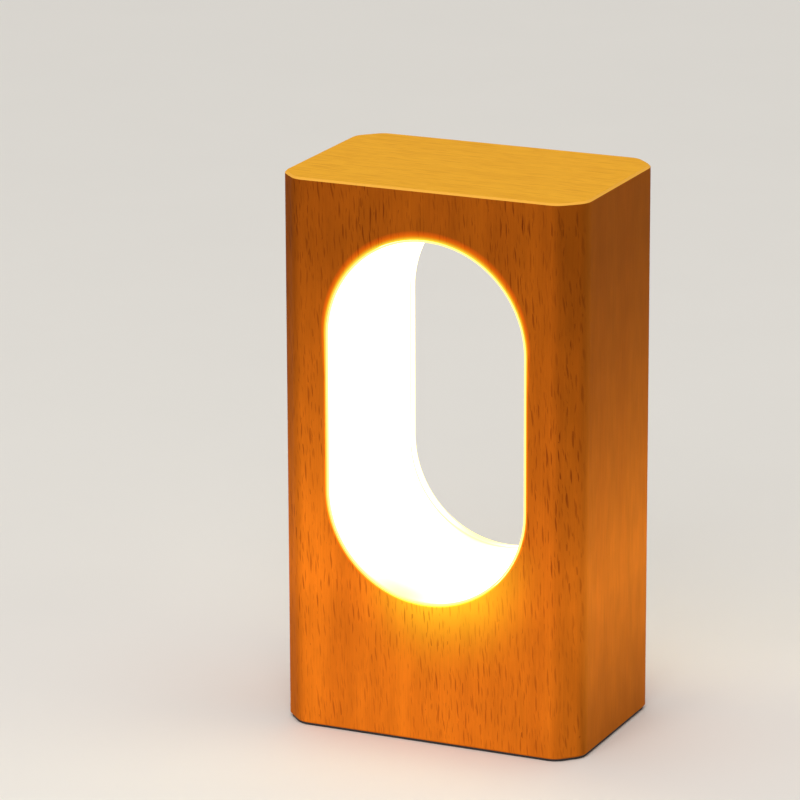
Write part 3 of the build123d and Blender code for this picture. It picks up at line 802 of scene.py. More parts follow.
def fleck_mask(place, look):
    """Bold and faint flecks, stronger in some patches than in others."""
    bold = placed(ray_flecks(), Place=place, Half_Width=look.fleck_width,
                  Half_Length=look.fleck_length, **BOLD_FLECKS)["Mask"]
    faint = placed(ray_flecks(), Place=vector_calc("ADD", place, FAINT_SHIFT), **FAINT_FLECKS)["Mask"]
    patch = spread(clouds(place, PATCH_SIZE), PATCH_SPAN, PATCH_DEPTH)
    foot = spread(axes(place)[2], FOOT_SPAN, FOOT_DEPTH)
    return calc("MAXIMUM", bold, faint * FAINT_DEPTH) * patch * foot


# End grain: its wander, its slope, and its dashes, threads and year rings, each with its size along
# X, Y and Z, where in the noise a line starts and is full, and how dark it gets
END_SWAY = ((30 * MM, 14 * MM, 30 * MM), 4 * MM)
END_SLOPE = 0.05
END_LINES = (
    ((5.0 * MM, 0.42 * MM, 1.0), (0.53, 0.66), 0.8),
    ((13 * MM, 0.8 * MM, 1.0), (0.50, 0.66), 0.9),
    ((60 * MM, 5.0 * MM, 1.0), (0.45, 0.70), 0.5))


def end_grain(place, look):
    """The top and the underside: short dark dashes along X over faint year rings, in colours lightened
    by painted sheen.
    """
    x, y, _ = axes(place)
    size, reach = END_SWAY
    line = vector_of(x, y + clouds(place, size) * reach + x * END_SLOPE)
    dark = 0.0
    for size, span, depth in END_LINES:
        dark = calc("MAXIMUM", dark, spread(clouds(line, size), span, (0.0, depth)))
    return blended(dark, look.end_grain, look.end_dash)


# The light that soaks into the rim: its colours outwards, and where it widens over the window
HALO = (
    (0.0, (1.0, 0.85, 0.05)), (0.2, (0.5, 0.36, 0.02)), (0.4, (0.45, 0.11, 0.0)),
    (0.6, (0.34, 0.035, 0.0)), (0.8, (0.18, 0.01, 0.0)), (1.0, (0.0, 0.0, 0.0)))
HALO_RISE = (WINDOW_MIDDLE + 0.5 * WINDOW_HALF_STRAIGHT,
             WINDOW_MIDDLE + WINDOW_HALF_STRAIGHT + 0.9 * WINDOW_HALF_WIDTH)
HALO_WIDTH = (0.3, 1.0)
# The pool: how far under the straight walls it starts, how it narrows, and how fast it fades
POOL_START = (0.25 * WINDOW_HALF_WIDTH, WINDOW_HALF_WIDTH)
POOL_ASIDE = (0.2 * WINDOW_HALF_WIDTH, 1.05 * WINDOW_HALF_WIDTH)
POOL_FADE = 2.3
# From full to none, and the colour that leaves another as it is
FADING = (1.0, 0.0)
WHITE = (1.0, 1.0, 1.0)


def rim_light(place, front, flecks, glow):
    """Light that soaks into the rim of the window, and the pool of it below."""
    x, _, z = axes(place)
    distance = placed(window_rim(), Place=place)["Distance"]
    halo = colour_ramp(distance / (spread(z, HALO_RISE, HALO_WIDTH) * glow.halo_reach), HALO)
    near = spread(distance, (0.0, glow.pool_reach), FADING) ** POOL_FADE
    aside = spread(abs(x - glow.pool_shift), POOL_ASIDE, FADING, "SMOOTHSTEP")
    below = spread(WINDOW_FOOT - z, POOL_START) * aside * near
    pool = blended(near, glow.pool_rim, glow.pool_colour)
    pool = blended(1.0, pool, blended(flecks, WHITE, glow.pool_fleck), "MULTIPLY")
    light = scaled(vector_calc("ADD", halo, scaled(pool, below)), front)

    # The sawn wall behind the lining, seen through the fit, is as bright as the lining's lip
    wall = (distance < LINING_FIT) * (1.0 - front)
    return vector_calc("ADD", light, scaled(tuple(glow.edge), wall))


# The light of the table on the lower half: how it fades up the block and towards its right side,
# and how it first grows and then fades on the narrow sides
FOOT_FADE = (0.28 * BLOCK_HIGH.z, 0.9 * BLOCK_HIGH.z)
FOOT_ASIDE = (0.1 * BLOCK_HIGH.x, 0.8 * BLOCK_HIGH.x)
FOOT_ASIDE_LIGHT = (1.0, 0.82)
SIDE_RISE = (0.02 * BLOCK_HIGH.z, 0.28 * BLOCK_HIGH.z)
SIDE_RISE_LIGHT = (0.3, 1.3)
SIDE_FALL = (0.35 * BLOCK_HIGH.z, 0.7 * BLOCK_HIGH.z)
SIDE_FALL_LIGHT = (1.3, 0.65)


def foot_light(place, front):
    """How strongly the table throws the lamp's own light back on its lower half."""
    x, _, z = axes(place)
    foot = spread(z, FOOT_FADE, FADING) * spread(x, FOOT_ASIDE, FOOT_ASIDE_LIGHT, "SMOOTHSTEP")
    side = calc("MINIMUM", spread(z, SIDE_RISE, SIDE_RISE_LIGHT), spread(z, SIDE_FALL, SIDE_FALL_LIGHT))
    return foot * calc("MAXIMUM", side, front)


# The part of the block that holds the recesses of its back, and the height where its top starts
SERVICE_REACH = 0.5 * BLOCK_HIGH.x
SERVICE_HEIGHT = 0.2 * BLOCK_HIGH.z
TOP_START = 0.9 * BLOCK_HIGH.z
# How square to its axis a surface is where a kind of face starts and is full; for the cut corners
# it is the product along X and Y
FRONT_SPAN = (0.25, 0.75)
END_SPAN = (0.8, 0.95)
EDGE_HIGHLIGHT_SPAN = (0.25, 0.6)
CORNER_SPAN = (0.1, 0.45)
# How much of the painted highlight the edges round the top show, how dull the oil is, and the grain's
# relief
EDGE_HIGHLIGHT_DEPTH = 0.85
BEECH_SPECULAR = 0.008
BEECH_RELIEF = 0.05 * MM
STREAK_RELIEF = 0.4


def beech_finish():
    """Oiled beech: long grain with flecks, end grain on top, and the lamp's light in it, with painted
    sheen on the end grain, painted shade on the sides, the cut corners and the recesses, and a painted
    highlight on the edges round the top.
    """
    look = bpy.context.scene.lamp_beech
    glow = bpy.context.scene.lamp_glow
    material, shader = surface("Oiled Beech", Roughness=look.roughness, Emission_Strength=1.0,
                               Specular_IOR_Level=BEECH_SPECULAR)
    place = own_place(material)
    x, y, z = axes(place)
    normal_x, normal_y, normal_z = facing(material)
    along = abs(normal_y)
    front = spread(along, FRONT_SPAN)

    # The recesses round the button and the inlet lie in their own shade
    service = (abs(x) < SERVICE_REACH) * (z < SERVICE_HEIGHT)
    shade = service * spread(abs(y), (RECESS_FLOOR, BLOCK_HIGH.y), (look.recess_shade, 0.0))
    end = spread(abs(normal_z), END_SPAN) * (1.0 - service)
    upright = 1.0 - end
    # Painted highlight on the sloping edges round the top
    edge = spread(normal_z, EDGE_HIGHLIGHT_SPAN) * (z > TOP_START) * upright
    # Painted shade on the cut corners
    corner = spread(abs(normal_x) * along, CORNER_SPAN, (1.0, look.corner_tone))

    wood, streaks = long_grain(place, front, look)
    flecks = fleck_mask(place, look) * front * upright
    # The flecks, then the painted shade of the cut corners and of the recesses
    wood = scaled(blended(flecks, wood, look.fleck), corner * (1.0 - shade))
    foot = scaled(wood, foot_light(place, front) * upright * glow.foot_light)
    # End grain on the top and the underside, with its painted sheen
    wood = blended(end, wood, end_grain(place, look))
    fill(shader, Base_Color=blended(edge * EDGE_HIGHLIGHT_DEPTH, wood, look.broken_edge),
         Emission_Color=vector_calc("ADD", foot, rim_light(place, front, flecks, glow)))
    bumped(shader, streaks * STREAK_RELIEF - flecks, distance=BEECH_RELIEF, strength=0.5)
    return material


# How far in from the lining's faces its lips and the thin light reach
LIP_SPAN = (0.0, 0.2 * LINING_FLARE)
THIN_SPAN = (0.0, 0.75 * LINING_HIGH.y)
# How far under the straight walls the thin light starts
THIN_START = (0.3 * WINDOW_HALF_WIDTH, 0.7 * WINDOW_HALF_WIDTH)
# Size and tones of the slight clouds in the opal
LINING_CLOUD = (7 * MM, 7 * MM, 7 * MM)
LINING_TONES = (0.96, 1.0)


def lining_finish():
    """Opal plastic lit from behind, yellow at its lips, and paler where the strip has its ends."""
    glow = bpy.context.scene.lamp_glow
    material, shader = surface("Lit Opal", Roughness=0.35, Emission_Strength=glow.strength)
    place = own_place(material)
    x, y, z = axes(place)
    to_lip = LINING_HIGH.y - abs(y)

    # The light thins out towards both faces where the strip's two ends leave a gap
    thin = (spread(WINDOW_FOOT - z, THIN_START)
            * spread(abs(x + glow.thin_place), (0.0, glow.thin_reach), FADING, "SMOOTHSTEP")
            * spread(to_lip, THIN_SPAN, FADING, "SMOOTHSTEP"))
    shine = blended(thin, glow.core, glow.thin)
    shine = blended(spread(to_lip, LIP_SPAN, FADING), shine, glow.edge)

    # Beyond the last LEDs the light runs out towards the back face
    throat = LINING_HIGH.y - LINING_FLARE
    far = spread(y, (throat - glow.far_edge, throat)) * (y < throat + glow.far_edge / 3)
    shine = blended(far, shine, glow.edge)
    tone = spread(clouds(place, LINING_CLOUD), NOISE_SPAN, LINING_TONES)
    fill(shader, Base_Color=blended(1.0, shine, slot_colour("opal_plastic"), "MULTIPLY"),
         Emission_Color=scaled(shine, tone))
    return material


def patterned(name, slot, group, roughness, relief, strength=0.5, metallic=0.0, **values):
    """A finish whose colour, gloss and relief follow one pattern."""
    material, shader = surface(name, Metallic=metallic)
    pattern = placed(group, Place=own_place(material), **values)
    fill(shader, Base_Color=scaled(slot_colour(slot), pattern["Tone"]),
         Roughness=calc("MULTIPLY", pattern["Tone"], roughness, clamp=True))
    bumped(shader, pattern["Height"], relief, strength)
    return material


def moulded_finish(name, slot, roughness, grain=0.25 * MM, contrast=0.12):
    """Moulded or coated material with a fine mottle."""
    return patterned(name, slot, satin_mottle(), roughness, relief=0.01 * MM,
                     Grain=grain, Contrast=contrast)


def metal_finish(name, slot, line_size, roughness=0.3):
    """Drawn, rolled or plated metal with fine lines."""
    return patterned(name, slot, drawn_lines(), roughness, relief=0.004 * MM, strength=0.4,
                     metallic=1.0, Line_Size=line_size, Contrast=0.1)


def lathe_finish(name, slot, axis, pitch):
    """Turned metal with rings round its axis."""
    return patterned(name, slot, turned_rings(), roughness=0.28, relief=0.006 * MM,
                     metallic=1.0, Axis=tuple(axis), Pitch=pitch, Contrast=0.16)


def silicone(colour):
    """The insulation of the leads of one colour."""
    name = f"{colour.title()} Silicone"
    return bpy.data.materials.get(name) or moulded_finish(name, f"lead_{colour}", roughness=0.4)


def shining(name, colour, strength, grain=0.3 * MM, **constants):
    """A small part that shines, with a slight mottle in its light."""
    material, shader = surface(name, Emission_Strength=strength, **constants)
    mottle = placed(satin_mottle(), Place=own_place(material), Grain=grain, Contrast=0.1)
    fill(shader, Emission_Color=scaled(colour, mottle["Tone"]))
    return material


def phosphor_finish(name, colour, strength):
    """The lit resin of an LED."""
    resin = slot_colour("led_phosphor")
    return shining(name, colour, strength, Roughness=0.3, Base_Color=resin)


def clear_finish():
    """The clear pin that carries the indicator's light to the back."""
    return shining("Clear Pin", colour=(0.25, 0.95, 0.35), strength=0.25, grain=0.4 * MM,
                   Roughness=0.12, Base_Color=(0.9, 0.95, 0.93), Transmission_Weight=0.85, IOR=1.49)


def button_cap():
    """The turned cap: a rounded rim round a shallow dish with fine rings cut in it."""
    look = bpy.context.scene.lamp_button
    low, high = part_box("button_cap")
    back, face = low.y, high.y
    flange_radius = (high.x - low.x) / 2
    ceiling = face - look.roof
    inner = look.radius - look.skin
    profile = [
        (look.socket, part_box("switch_plunger")[1].y), (look.socket, back), (look.boss, back),
        (look.boss, ceiling), (inner, ceiling), (inner, back), (flange_radius, back),
        (flange_radius, back + look.flange), (look.radius, back + look.flange),
        *arc(look.radius - look.rim, face - look.rim, look.rim, 0, 90)]
    edge = look.radius - look.rim - look.land
    for ring in range(int(edge / look.ring_pitch) - 1):
        outer = edge - ring * look.ring_pitch
        for radius, sunk in ((outer, 0.0), (outer - look.ring_pitch / 2, look.ring_depth)):
            dish = look.dish * (1 - (radius / edge) ** 2)
            profile.append((radius, face - dish - look.ring_depth - sunk))
    cap = turned("button_cap_turned", profile, BUTTON_AXIS)
    finish = lathe_finish("Satin Aluminium", "button_aluminium", BUTTON_AXIS, pitch=0.22 * MM)
    return fit(cap, finish, "button", ("button_cap",))


def button_bezel():
    """The bush that guides the cap, with a rounded flange and one ring cut in its face."""
    look = bpy.context.scene.lamp_button
    low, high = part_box("button_bezel")
    flange_radius = (high.x - low.x) / 2
    inner = look.radius + look.clearance
    barrel = inner + look.bush_wall
    edge = look.bush_edge
    groove = (flange_radius + inner) / 2
    profile = [
        (inner, low.y), (barrel, low.y), (barrel, high.y - look.bush_flange),
        (flange_radius, high.y - look.bush_flange),
        *arc(flange_radius - edge, high.y - edge, edge, 0, 90),
        (groove + edge / 3, high.y), (groove, high.y - edge / 3), (groove - edge / 3, high.y),
        *arc(inner + edge, high.y - edge, edge, 90, 180)]
    bush = turned("button_bezel_turned", profile, BUTTON_AXIS, closed=True)
    finish = lathe_finish("Turned Steel", "bezel_steel", BUTTON_AXIS, pitch=0.15 * MM)
    return fit(bush, finish, "lamp", ("button_bezel",))


def button_spring():
    """The return spring: round wire wound between the switch and the cap."""
    look = bpy.context.scene.lamp_button
    low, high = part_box("button_spring")
    wire = look.spring_wire
    spring = ring_piece(
        "button_spring_wound", WIRE_ROUND, wire, ((high.x - low.x) / 2 - wire, 0.0, 0.0))
    steps = math.ceil(TURN_STEPS * look.spring_turns)
    wound(spring, WIRE_ROUND, axis="Y", angle=look.spring_turns * math.tau, iterations=1,
          screw_offset=high.y - low.y - 2 * wire, steps=steps, render_steps=steps)
    with editing(spring, "VERT"):
        bpy.ops.mesh.select_all(action="SELECT")
        bpy.ops.transform.translate(value=(BUTTON_AXIS.x, low.y + wire, BUTTON_AXIS.z))
    finish = metal_finish("Spring Wire", "spring_steel", (0.2 * MM, 0.2 * MM, 0.2 * MM))
    fit(spring, finish, "lamp", ("button_spring",))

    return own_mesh(spring)


def light_pipe():
    """The clear pin with its collar and a low dome at the back face."""
    look = bpy.context.scene.lamp_button
    low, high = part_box("light_pipe")
    collar = (high.x - low.x) / 2
    radius = look.pipe_radius
    inside = BLOCK_HIGH.y - look.service_wall
    profile = [
        (radius, low.y), (radius, inside - look.pipe_collar), (collar, inside - look.pipe_collar),
        (collar, inside), (radius, inside),
        *arc(radius - look.pipe_dome, high.y - look.pipe_dome, look.pipe_dome, 0, 84, 6)]
    pin = turned("light_pipe_domed", profile, middle("light_pipe"), sides=ROUND)
    return fit(pin, clear_finish(), "lamp", ("light_pipe",))


def inlet_sleeve():
    """The drawn sleeve: an obround tube with a rolled mouth and two legs from its back rim."""
    look = bpy.context.scene.lamp_inlet
    low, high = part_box("usb_shell")
    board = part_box("control_board")[1].y
    axis = middle("usb_shell")
    radius = (high.z - low.z) / 2
    reach = (high.x - low.x) / 2 - radius
    sleeve = ring_piece("inlet_sleeve_drawn", ROUND, radius, (axis.x, board, axis.z),
                        (-math.pi / 2, math.pi / ROUND, 0.0))
    with editing(sleeve, "VERT"):
        for side in (-1, 1):
            pick(sleeve, "VERT", lambda spot, _: (spot.x - axis.x) * side > 0)
            bpy.ops.transform.translate(value=(side * reach, 0.0, 0.0))
        bpy.ops.mesh.select_mode(type="EDGE")
        bpy.ops.mesh.select_all(action="SELECT")
        extruded((0.0, high.y - board, 0.0))
        outward()
    applied(sleeve, "SOLIDIFY", thickness=look.wall, offset=-1.0)
    with editing(sleeve, "FACE"):
        pick(sleeve, "FACE", lambda spot, normal: normal.y < -SQUARE
             and abs(spot.x - axis.x) > reach and abs(spot.z - axis.z) < look.leg / 2)
        extruded((0.0, low.y - board, 0.0))
    eased(sleeve, look.wall / 4)
    finish = metal_finish("Drawn Nickel", "shell_nickel", (1.5 * MM, 0.08 * MM, 1.5 * MM))
    return fit(sleeve, finish, "lamp", ("usb_shell",))


def countersunk_head(radius, look):
    """The head of a cover's screw, from its face to its shank."""
    return [(radius, 0.0), (radius, look.sharp_edge), (look.cover_shank, look.cover_sink)]


def pan_head(radius, look):
    """The head of a board's screw, with its rounded rim."""
    rounding = look.head_rounding * radius
    flat = radius - rounding
    return [(flat, 0.0), *arc(flat, rounding, rounding, -75, 0), (radius, look.board_head),
            (look.board_shank, look.board_head)]


def screw_thread(name, core, start, end, look):
    """The thread: a triangle on edge, wound up the core."""
    place = (core, 0.0, start)
    thread = ring_piece(name, 3, look.thread_depth, place, (math.pi / 2, 0.0, -math.pi / 2))
    with editing(thread, "VERT"):
        bpy.ops.mesh.select_all(action="SELECT")
        bpy.ops.transform.rotate(value=math.pi / 2, orient_axis="Y", center_override=place)
    wound(thread, 3, axis="Z", angle=math.tau, screw_offset=look.pitch,
          iterations=int((end - start) / look.pitch), steps=TURN_STEPS, render_steps=TURN_STEPS)
    return thread


def cross_recess(body, look):
    """A tapered cross pressed into the head."""
    long, short = look.cross_reach, look.cross_width / 2
    for x, y in ((long, short), (short, long)):
        blade = box_piece("blade", (-x, -y, -look.cross_depth / 2), (x, y, look.cross_depth))
        with editing(blade, "FACE"):
            pick(blade, "FACE", lambda _, normal: normal.z > SQUARE)
            bpy.ops.transform.resize(value=(look.cross_taper, look.cross_taper, 1.0),
                                     center_override=(0.0, 0.0, look.cross_depth))
        cut(body, blade)


def screw(name, head, shank, length, look):
    """A screw along Z from its head's face at 0."""
    core = shank - look.thread_depth
    under_head = head[-1][1]
    profile = [*head, (core, under_head + look.pitch / 2), (core, length - shank), (core / 4, length)]
    body = turned(name, profile, (0.0, 0.0, 0.0), along="Z", sides=ROUND)
    thread = screw_thread(f"{name}_thread", core, under_head + look.pitch, length - shank, look)
    cross_recess(body, look)
    return joined([body, thread], name)


def screws():
    """Countersunk screws under the cover and pan-head ones in the board, each kind copied."""
    look = bpy.context.scene.lamp_screw
    finish = metal_finish("Zinc Screw", "screw_steel", (0.3 * MM, 0.3 * MM, 0.05 * MM))
    for node, head, shank, along in (("cover_screws", countersunk_head, look.cover_shank, "Z"),
                                     ("board_screws", pan_head, look.board_shank, "Y")):
        boxes = islands(node)
        size = boxes[0][1] - boxes[0][0]
        length = size.z if along == "Z" else size.y
        model = screw(f"{node}_model", head(size.x / 2, look), shank, length, look)
        turn = Matrix() if along == "Z" else Matrix.Rotation(-math.pi / 2, 4, "X")
        copies = []
        for index, (low, high) in enumerate(boxes):
            start = (low + high) / 2
            if along == "Z":
                start.z = low.z
            else:
                start.y = low.y
            copies.append(copied(model, f"{node}_{index}", Matrix.Translation(start) @ turn))
        bpy.data.objects.remove(model, do_unlink=True)
        fit(joined(copies, f"{node}_threaded"), finish, "lamp", (node,))


def chip_body(index, low, high, look):
    """A moulded body that narrows to its face, with a dimple at its first leg."""
    centre = (low + high) / 2
    body = box_piece(f"chip_{index}", low, high)
    with editing(body, "FACE"):
        pick(body, "FACE", lambda _, normal: normal.y < -SQUARE)
        bpy.ops.transform.resize(value=(look.chip_taper, 1.0, look.chip_taper),
                                 center_override=(centre.x, low.y, centre.z))
    eased(body, look.chip_edge)
    corner = (low.x + 3 * look.dimple, 0.0, low.z + 3 * look.dimple)
    return cut(body, turned(f"dimple_{index}", [
        (look.dimple, low.y - look.dimple), (look.dimple, low.y + look.chip_edge / 2),
        (look.dimple / 3, low.y + look.chip_edge)], corner, sides=SMALL_ROUND))


# Where the four legs on a side of a chip stand, in pitches from its middle
LEG_PLACES = (-1.5, -0.5, 0.5, 1.5)


def chip_legs(index, low, high, look):
    """Eight bent legs, four to a side: out of the body, down to the board and along it."""
    centre = (low + high) / 2
    sheet = look.leg_sheet
    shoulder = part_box("control_board")[0].y - look.leg_shoulder
    side = high.z - centre.z
    leg = box_piece(f"leg_{index}", (-look.leg_width / 2, shoulder, side - sheet),
                    (look.leg_width / 2, shoulder + sheet, side + sheet))
    with editing(leg, "FACE"):
        pick(leg, "FACE", lambda _, normal: normal.z > SQUARE)
        extruded((0.0, look.leg_shoulder - sheet, 1.5 * sheet))
        extruded((0.0, 0.0, look.leg_foot))
    legs = []
    for turn in (0.0, math.pi):
        for place in LEG_PLACES:
            spot = (centre.x + place * look.leg_pitch, 0.0, centre.z)
            legs.append(copied(leg, f"leg_{index}_{len(legs)}", Matrix.Translation(spot)
                               @ Matrix.Rotation(turn, 4, "Y")))
    bpy.data.objects.remove(leg, do_unlink=True)
    return legs


def board_chips():
    """The moulded chips of the control board and their legs."""
    look = bpy.context.scene.lamp_board
    bodies, legs = [], []
    for index, (low, high) in enumerate(islands("board_chips")):
        bodies.append(chip_body(index, low, high, look))
        legs += chip_legs(index, low, high, look)
    black = moulded_finish("Moulded Chip", "component_black", roughness=0.45)
    tin = metal_finish("Chip Leg", "pin_tin", (0.1 * MM, 0.1 * MM, 0.4 * MM))
    fit(joined(bodies, "board_chips_moulded"), black, "lamp", ("board_chips",))
    fit(joined(legs, "board_chip_legs"), tin, "lamp")


def end_caps():
    """The metal ends of the small resistors and capacitors on the board."""
    look = bpy.context.scene.lamp_board
    skin = look.end_plating
    caps = []
    for node in ("board_capacitors", "board_resistors"):
        for low, high in islands(node):
            low, high = low - Vector((skin, skin, skin)), high + Vector((skin, 0.0, skin))
            for start, stop in ((low.x, low.x + look.end_cap), (high.x - look.end_cap, high.x)):
                cap = box_piece(f"end_cap_{len(caps)}", (start, low.y, low.z), (stop, high.y, high.z))
                caps.append(eased(cap, 2 * skin))
    finish = metal_finish(
        "Plated End", "pin_tin", (0.1 * MM, 0.1 * MM, 0.1 * MM), roughness=0.35)
    fit(joined(caps, "board_end_caps"), finish, "lamp")


def base_pad():
    """The non-slip sheet: cut and rounded corners, a soft rim and a ribbed underside."""
    look = bpy.context.scene.lamp_pad
    low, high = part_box("base_pad")
    mesh = frame["nodes"]["base_pad"].data
    straight = max(vert.co.x for vert in mesh.vertices if vert.co.y > high.y - look.depth / 10)
    rounding = look.corner_round * math.tan(math.pi / 8)
    pad = box_piece("base_pad_ribbed", low, high)
    with editing(pad, "EDGE"):
        for width, segments in ((high.x - straight - rounding, 1), (rounding, 6)):
            pick(pad, "EDGE", lambda _, along: abs(along.z) > SQUARE)
            bpy.ops.mesh.bevel(offset=width, segments=segments, affect="EDGES")
    eased(pad, look.edge, limit=60.0)
    field = high.x - 2 * look.margin
    count = int(2 * field / look.pitch) + 1
    grooves = []
    for index in range(count):
        start = (index - (count - 1) / 2) * look.pitch - look.groove / 2
        grooves.append(box_piece(
            f"groove_{index}", (start, low.y + look.margin, low.z - look.depth),
            (start + look.groove, high.y - look.margin, low.z + look.depth)))
    cut(pad, joined(grooves, "grooves"))
    finish = moulded_finish("Non-slip Sheet", "pad_black", roughness=0.85, grain=0.5 * MM, contrast=0.3)
    return fit(pad, finish, "lamp", ("base_pad",))


# Width of the floor, and how far from the object it starts and ends to look paler, in metres
FLOOR_WIDTH = 12.0
FLOOR_PALING = (0.15, 1.6)
# Places and widths of the two soft lamps, in metres
KEY_LAMP = ((0.1, -0.8, 0.95), 0.8)
OVERHEAD_LAMP = ((0.0, 0.15, 1.25), 1.0)


def pale_floor():
    """The floor, with the object's shadow on it and a paler look far behind."""
    look = bpy.context.scene.lamp_stage
    bpy.ops.object.select_all(action="DESELECT")
    bpy.ops.mesh.primitive_plane_add(size=FLOOR_WIDTH, location=(0.0, 0.0, 0.0))
    floor = added("floor")
    material, shader = surface("Pale Floor", Roughness=0.7, Emission_Strength=1.0)
    place = own_place(material)
    mottle = placed(satin_mottle(), Place=place, Grain=0.05, Contrast=0.01)
    path = new_node(material.node_tree, "ShaderNodeLightPath").outputs
    camera, glossy, through = (
        Value(path[f"Is {kind} Ray"]) for kind in ("Camera", "Glossy", "Transmission"))
    seen = calc("MAXIMUM", camera, calc("MAXIMUM", glossy, through))
    away = spread(vector_calc("LENGTH", place), FLOOR_PALING, (0.0, look.far_floor))
    colour = tuple(look.floor)
    fill(shader, Base_Color=scaled(colour, mottle["Tone"]), Emission_Color=scaled(colour, seen * away))
    floor.data.materials.append(material)


def soft_sky():
    """Even light from all round."""
    look = bpy.context.scene.lamp_stage
    world = bpy.data.worlds.new("Soft Sky")
    world.use_nodes = True
    background = world.node_tree.nodes["Background"]
    background.inputs["Color"].default_value = (*look.sky_colour, 1.0)
    background.inputs["Strength"].default_value = look.sky
    bpy.context.scene.world = world


def lamp_over(name, place, size, power):
    """A soft square lamp that looks at the middle of the block."""
    data = bpy.data.lights.new(name, "AREA")
    data.shape = "SQUARE"
    data.size = size
    data.energy = power
    light = bpy.data.objects.new(name, data)
    bpy.context.scene.collection.objects.link(light)
    away = Vector((0.0, 0.0, BLOCK_HIGH.z / 2)) - Vector(place)
    light.matrix_world = Matrix.Translation(place) @ away.to_track_quat("-Z", "Y").to_matrix().to_4x4()


def photo_camera():
    """The camera at the angle the picture is taken from."""
    data = bpy.data.cameras.new("camera")
    data.lens = CAMERA_LENS
    data.sensor_width = CAMERA_SENSOR
    camera = bpy.data.objects.new("camera", data)
    bpy.context.scene.collection.objects.link(camera)
    camera.matrix_world = (
        Matrix.Translation(CAMERA_PLACE)
        @ Matrix.Rotation(CAMERA_YAW, 4, "Z")
        @ Matrix.Rotation(math.pi / 2 - CAMERA_PITCH, 4, "X")
        @ Matrix.Rotation(CAMERA_ROLL, 4, "Z"))
    bpy.context.scene.camera = camera


class LampOperator(bpy.types.Operator):
    """A step in making the lamp."""

    bl_options = {"REGISTER", "UNDO"}


class LAMP_OT_beech_block(LampOperator):
    """Oil the beech block"""

    bl_idname = "lamp.beech_block"
    bl_label = "Beech Block"

    def execute(self, context):
        dressed("wood_body", beech_finish())
        return {"FINISHED"}


class LAMP_OT_opal_lining(LampOperator):
    """Light the opal lining of the window"""

    bl_idname = "lamp.opal_lining"
    bl_label = "Opal Lining"

    def execute(self, context):
        dressed("diffuser_ring", lining_finish())
        return {"FINISHED"}


class LAMP_OT_light_strip(LampOperator):
    """Finish the LED strip behind the lining"""

    bl_idname = "lamp.light_strip"
    bl_label = "Light Strip"

    def execute(self, context):
        dressed("led_strip", moulded_finish("Strip Film", "strip_film", roughness=0.45))
        dressed("led_chips", phosphor_finish("Warm Phosphor", (1.0, 0.78, 0.35), strength=6.0))
        dressed("strip_resistors", moulded_finish("Black Chip Body", "component_black", roughness=0.4))
        dressed("led_lead_positive", silicone("red"))
        dressed("led_lead_negative", silicone("black"))
        return {"FINISHED"}


class LAMP_OT_push_button(LampOperator):
    """Turn the button and its bush, and wind its spring"""

    bl_idname = "lamp.push_button"
    bl_label = "Push Button"

    def execute(self, context):
        button_cap()
        button_bezel()
        button_spring()
        dressed("switch_plunger", moulded_finish("White Plunger", "plunger_white", roughness=0.4))
        dressed("switch_body", moulded_finish("Switch Housing", "switch_black", roughness=0.45))
        dressed("switch_pins", metal_finish("Tinned Pin", "pin_tin", (0.1 * MM, 1 * MM, 0.1 * MM)))
        return {"FINISHED"}


class LAMP_OT_charging_inlet(LampOperator):
    """Draw the charging inlet and shape the light pipe beside it"""

    bl_idname = "lamp.charging_inlet"
    bl_label = "Charging Inlet"

    def execute(self, context):
        inlet_sleeve()
        dressed("usb_tongue", moulded_finish("Inlet Tongue", "insulator_black", roughness=0.5))
        dressed("usb_contacts", metal_finish(
            "Gold Contact", "contact_gold", (0.05 * MM, 0.6 * MM, 0.05 * MM), roughness=0.22))
        dressed("indicator_led", phosphor_finish("Green Phosphor", (0.2, 1.0, 0.3), strength=2.0))
        light_pipe()
        return {"FINISHED"}


class LAMP_OT_control_board(LampOperator):
    """Finish the control board, its parts and the screws"""

    bl_idname = "lamp.control_board"
    bl_label = "Control Board"

    def execute(self, context):
        mask = moulded_finish("Solder Mask", "board_green", roughness=0.3, grain=0.8 * MM)
        chips = moulded_finish("Small Black Part", "component_black", roughness=0.45)
        socket = moulded_finish("White Connector", "connector_white", roughness=0.4)
        dressed("control_board", mask)
        dressed("protection_board", mask)
        dressed("board_resistors", chips)
        dressed("protection_chips", chips)
        board_chips()
        end_caps()
        screws()
        dressed("inductor", moulded_finish("Ferrite", "ferrite_grey", roughness=0.6))
        dressed("board_capacitors", moulded_finish("Ceramic", "ceramic_tan", roughness=0.5))
        dressed("battery_header", socket)
        dressed("battery_plug", socket)
        return {"FINISHED"}


class LAMP_OT_battery(LampOperator):
    """Finish the cell, its foam and its leads"""

    bl_idname = "lamp.battery"
    bl_label = "Battery"

    def execute(self, context):
        dressed("battery_cell", metal_finish(
            "Laminated Foil", "cell_foil", (3 * MM, 0.3 * MM, 3 * MM), roughness=0.35))
        dressed("battery_foam", moulded_finish(
            "Cell Foam", "foam_black", roughness=0.9, grain=0.4 * MM, contrast=0.3))
        dressed("battery_lead_positive", silicone("red"))
        dressed("battery_lead_negative", silicone("black"))
        return {"FINISHED"}


class LAMP_OT_base(LampOperator):
    """Finish the bottom cover and rib the pad"""

    bl_idname = "lamp.base"
    bl_label = "Base"

    def execute(self, context):
        dressed("bottom_cover", moulded_finish(
            "Cover Plastic", "cover_black", roughness=0.55, grain=0.3 * MM, contrast=0.2))
        base_pad()
        return {"FINISHED"}


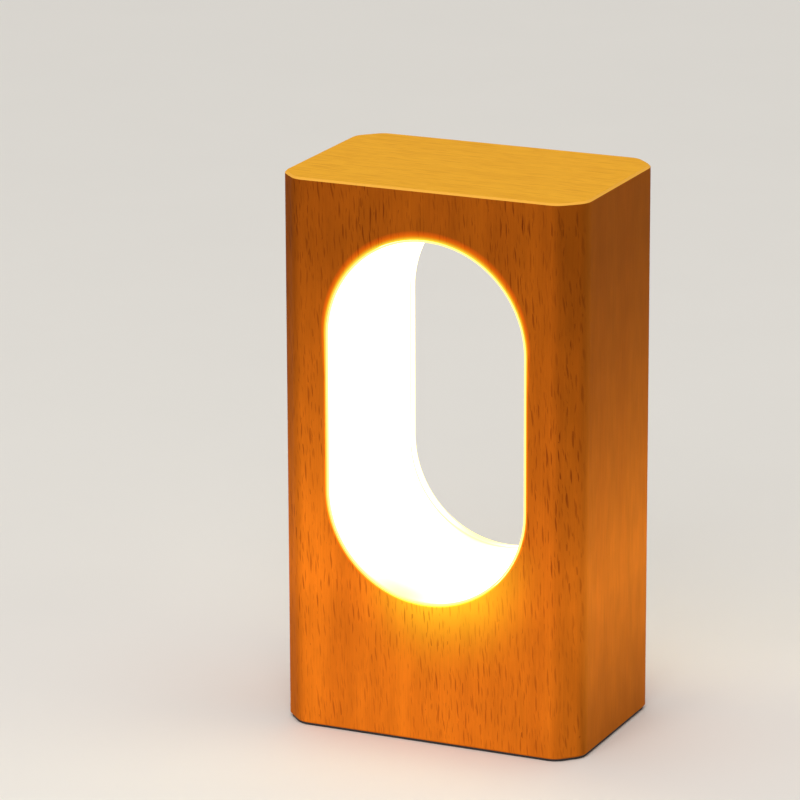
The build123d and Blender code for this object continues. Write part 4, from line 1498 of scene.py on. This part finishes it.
class LAMP_OT_stage(LampOperator):
    """Lay the pale floor, hang the soft lamps and set up the camera"""

    bl_idname = "lamp.stage"
    bl_label = "Stage"

    def execute(self, context):
        look = context.scene.lamp_stage
        pale_floor()
        soft_sky()
        lamp_over("key_lamp", *KEY_LAMP, look.key)
        lamp_over("overhead_lamp", *OVERHEAD_LAMP, look.overhead)
        photo_camera()
        context.scene.view_settings.view_transform = "Standard"
        return {"FINISHED"}


OPERATORS = (
    LAMP_OT_beech_block, LAMP_OT_opal_lining, LAMP_OT_light_strip, LAMP_OT_push_button,
    LAMP_OT_charging_inlet, LAMP_OT_control_board, LAMP_OT_battery, LAMP_OT_base, LAMP_OT_stage)
LOOKS = {
    "lamp_beech": BeechLook, "lamp_glow": GlowLook, "lamp_button": ButtonLook,
    "lamp_inlet": InletLook, "lamp_screw": ScrewLook, "lamp_board": BoardLook,
    "lamp_pad": PadLook, "lamp_stage": StageLook}


class LAMP_PT_panel(bpy.types.Panel):
    """The lamp's steps and looks in the 3D view's sidebar"""

    bl_idname = "LAMP_PT_panel"
    bl_label = "Beech Window Lamp"
    bl_space_type = "VIEW_3D"
    bl_region_type = "UI"
    bl_category = "Lamp"

    def draw(self, context):
        for step in OPERATORS:
            self.layout.operator(step.bl_idname)
        for name, kind in LOOKS.items():
            box = self.layout.box()
            look = getattr(context.scene, name)
            for field in kind.__annotations__:
                box.prop(look, field)


def register():
    for kind in (*LOOKS.values(), *OPERATORS, LAMP_PT_panel):
        bpy.utils.register_class(kind)
    for name, kind in LOOKS.items():
        setattr(bpy.types.Scene, name, PointerProperty(type=kind))


def unregister():
    for name in LOOKS:
        delattr(bpy.types.Scene, name)
    for kind in reversed((*LOOKS.values(), *OPERATORS, LAMP_PT_panel)):
        bpy.utils.unregister_class(kind)


def main():
    register()
    bpy.ops.lamp.beech_block()
    bpy.ops.lamp.opal_lining()
    bpy.ops.lamp.light_strip()
    bpy.ops.lamp.push_button()
    bpy.ops.lamp.charging_inlet()
    bpy.ops.lamp.control_board()
    bpy.ops.lamp.battery()
    bpy.ops.lamp.base()
    bpy.ops.lamp.stage()


if __name__ == "__main__":
    main()
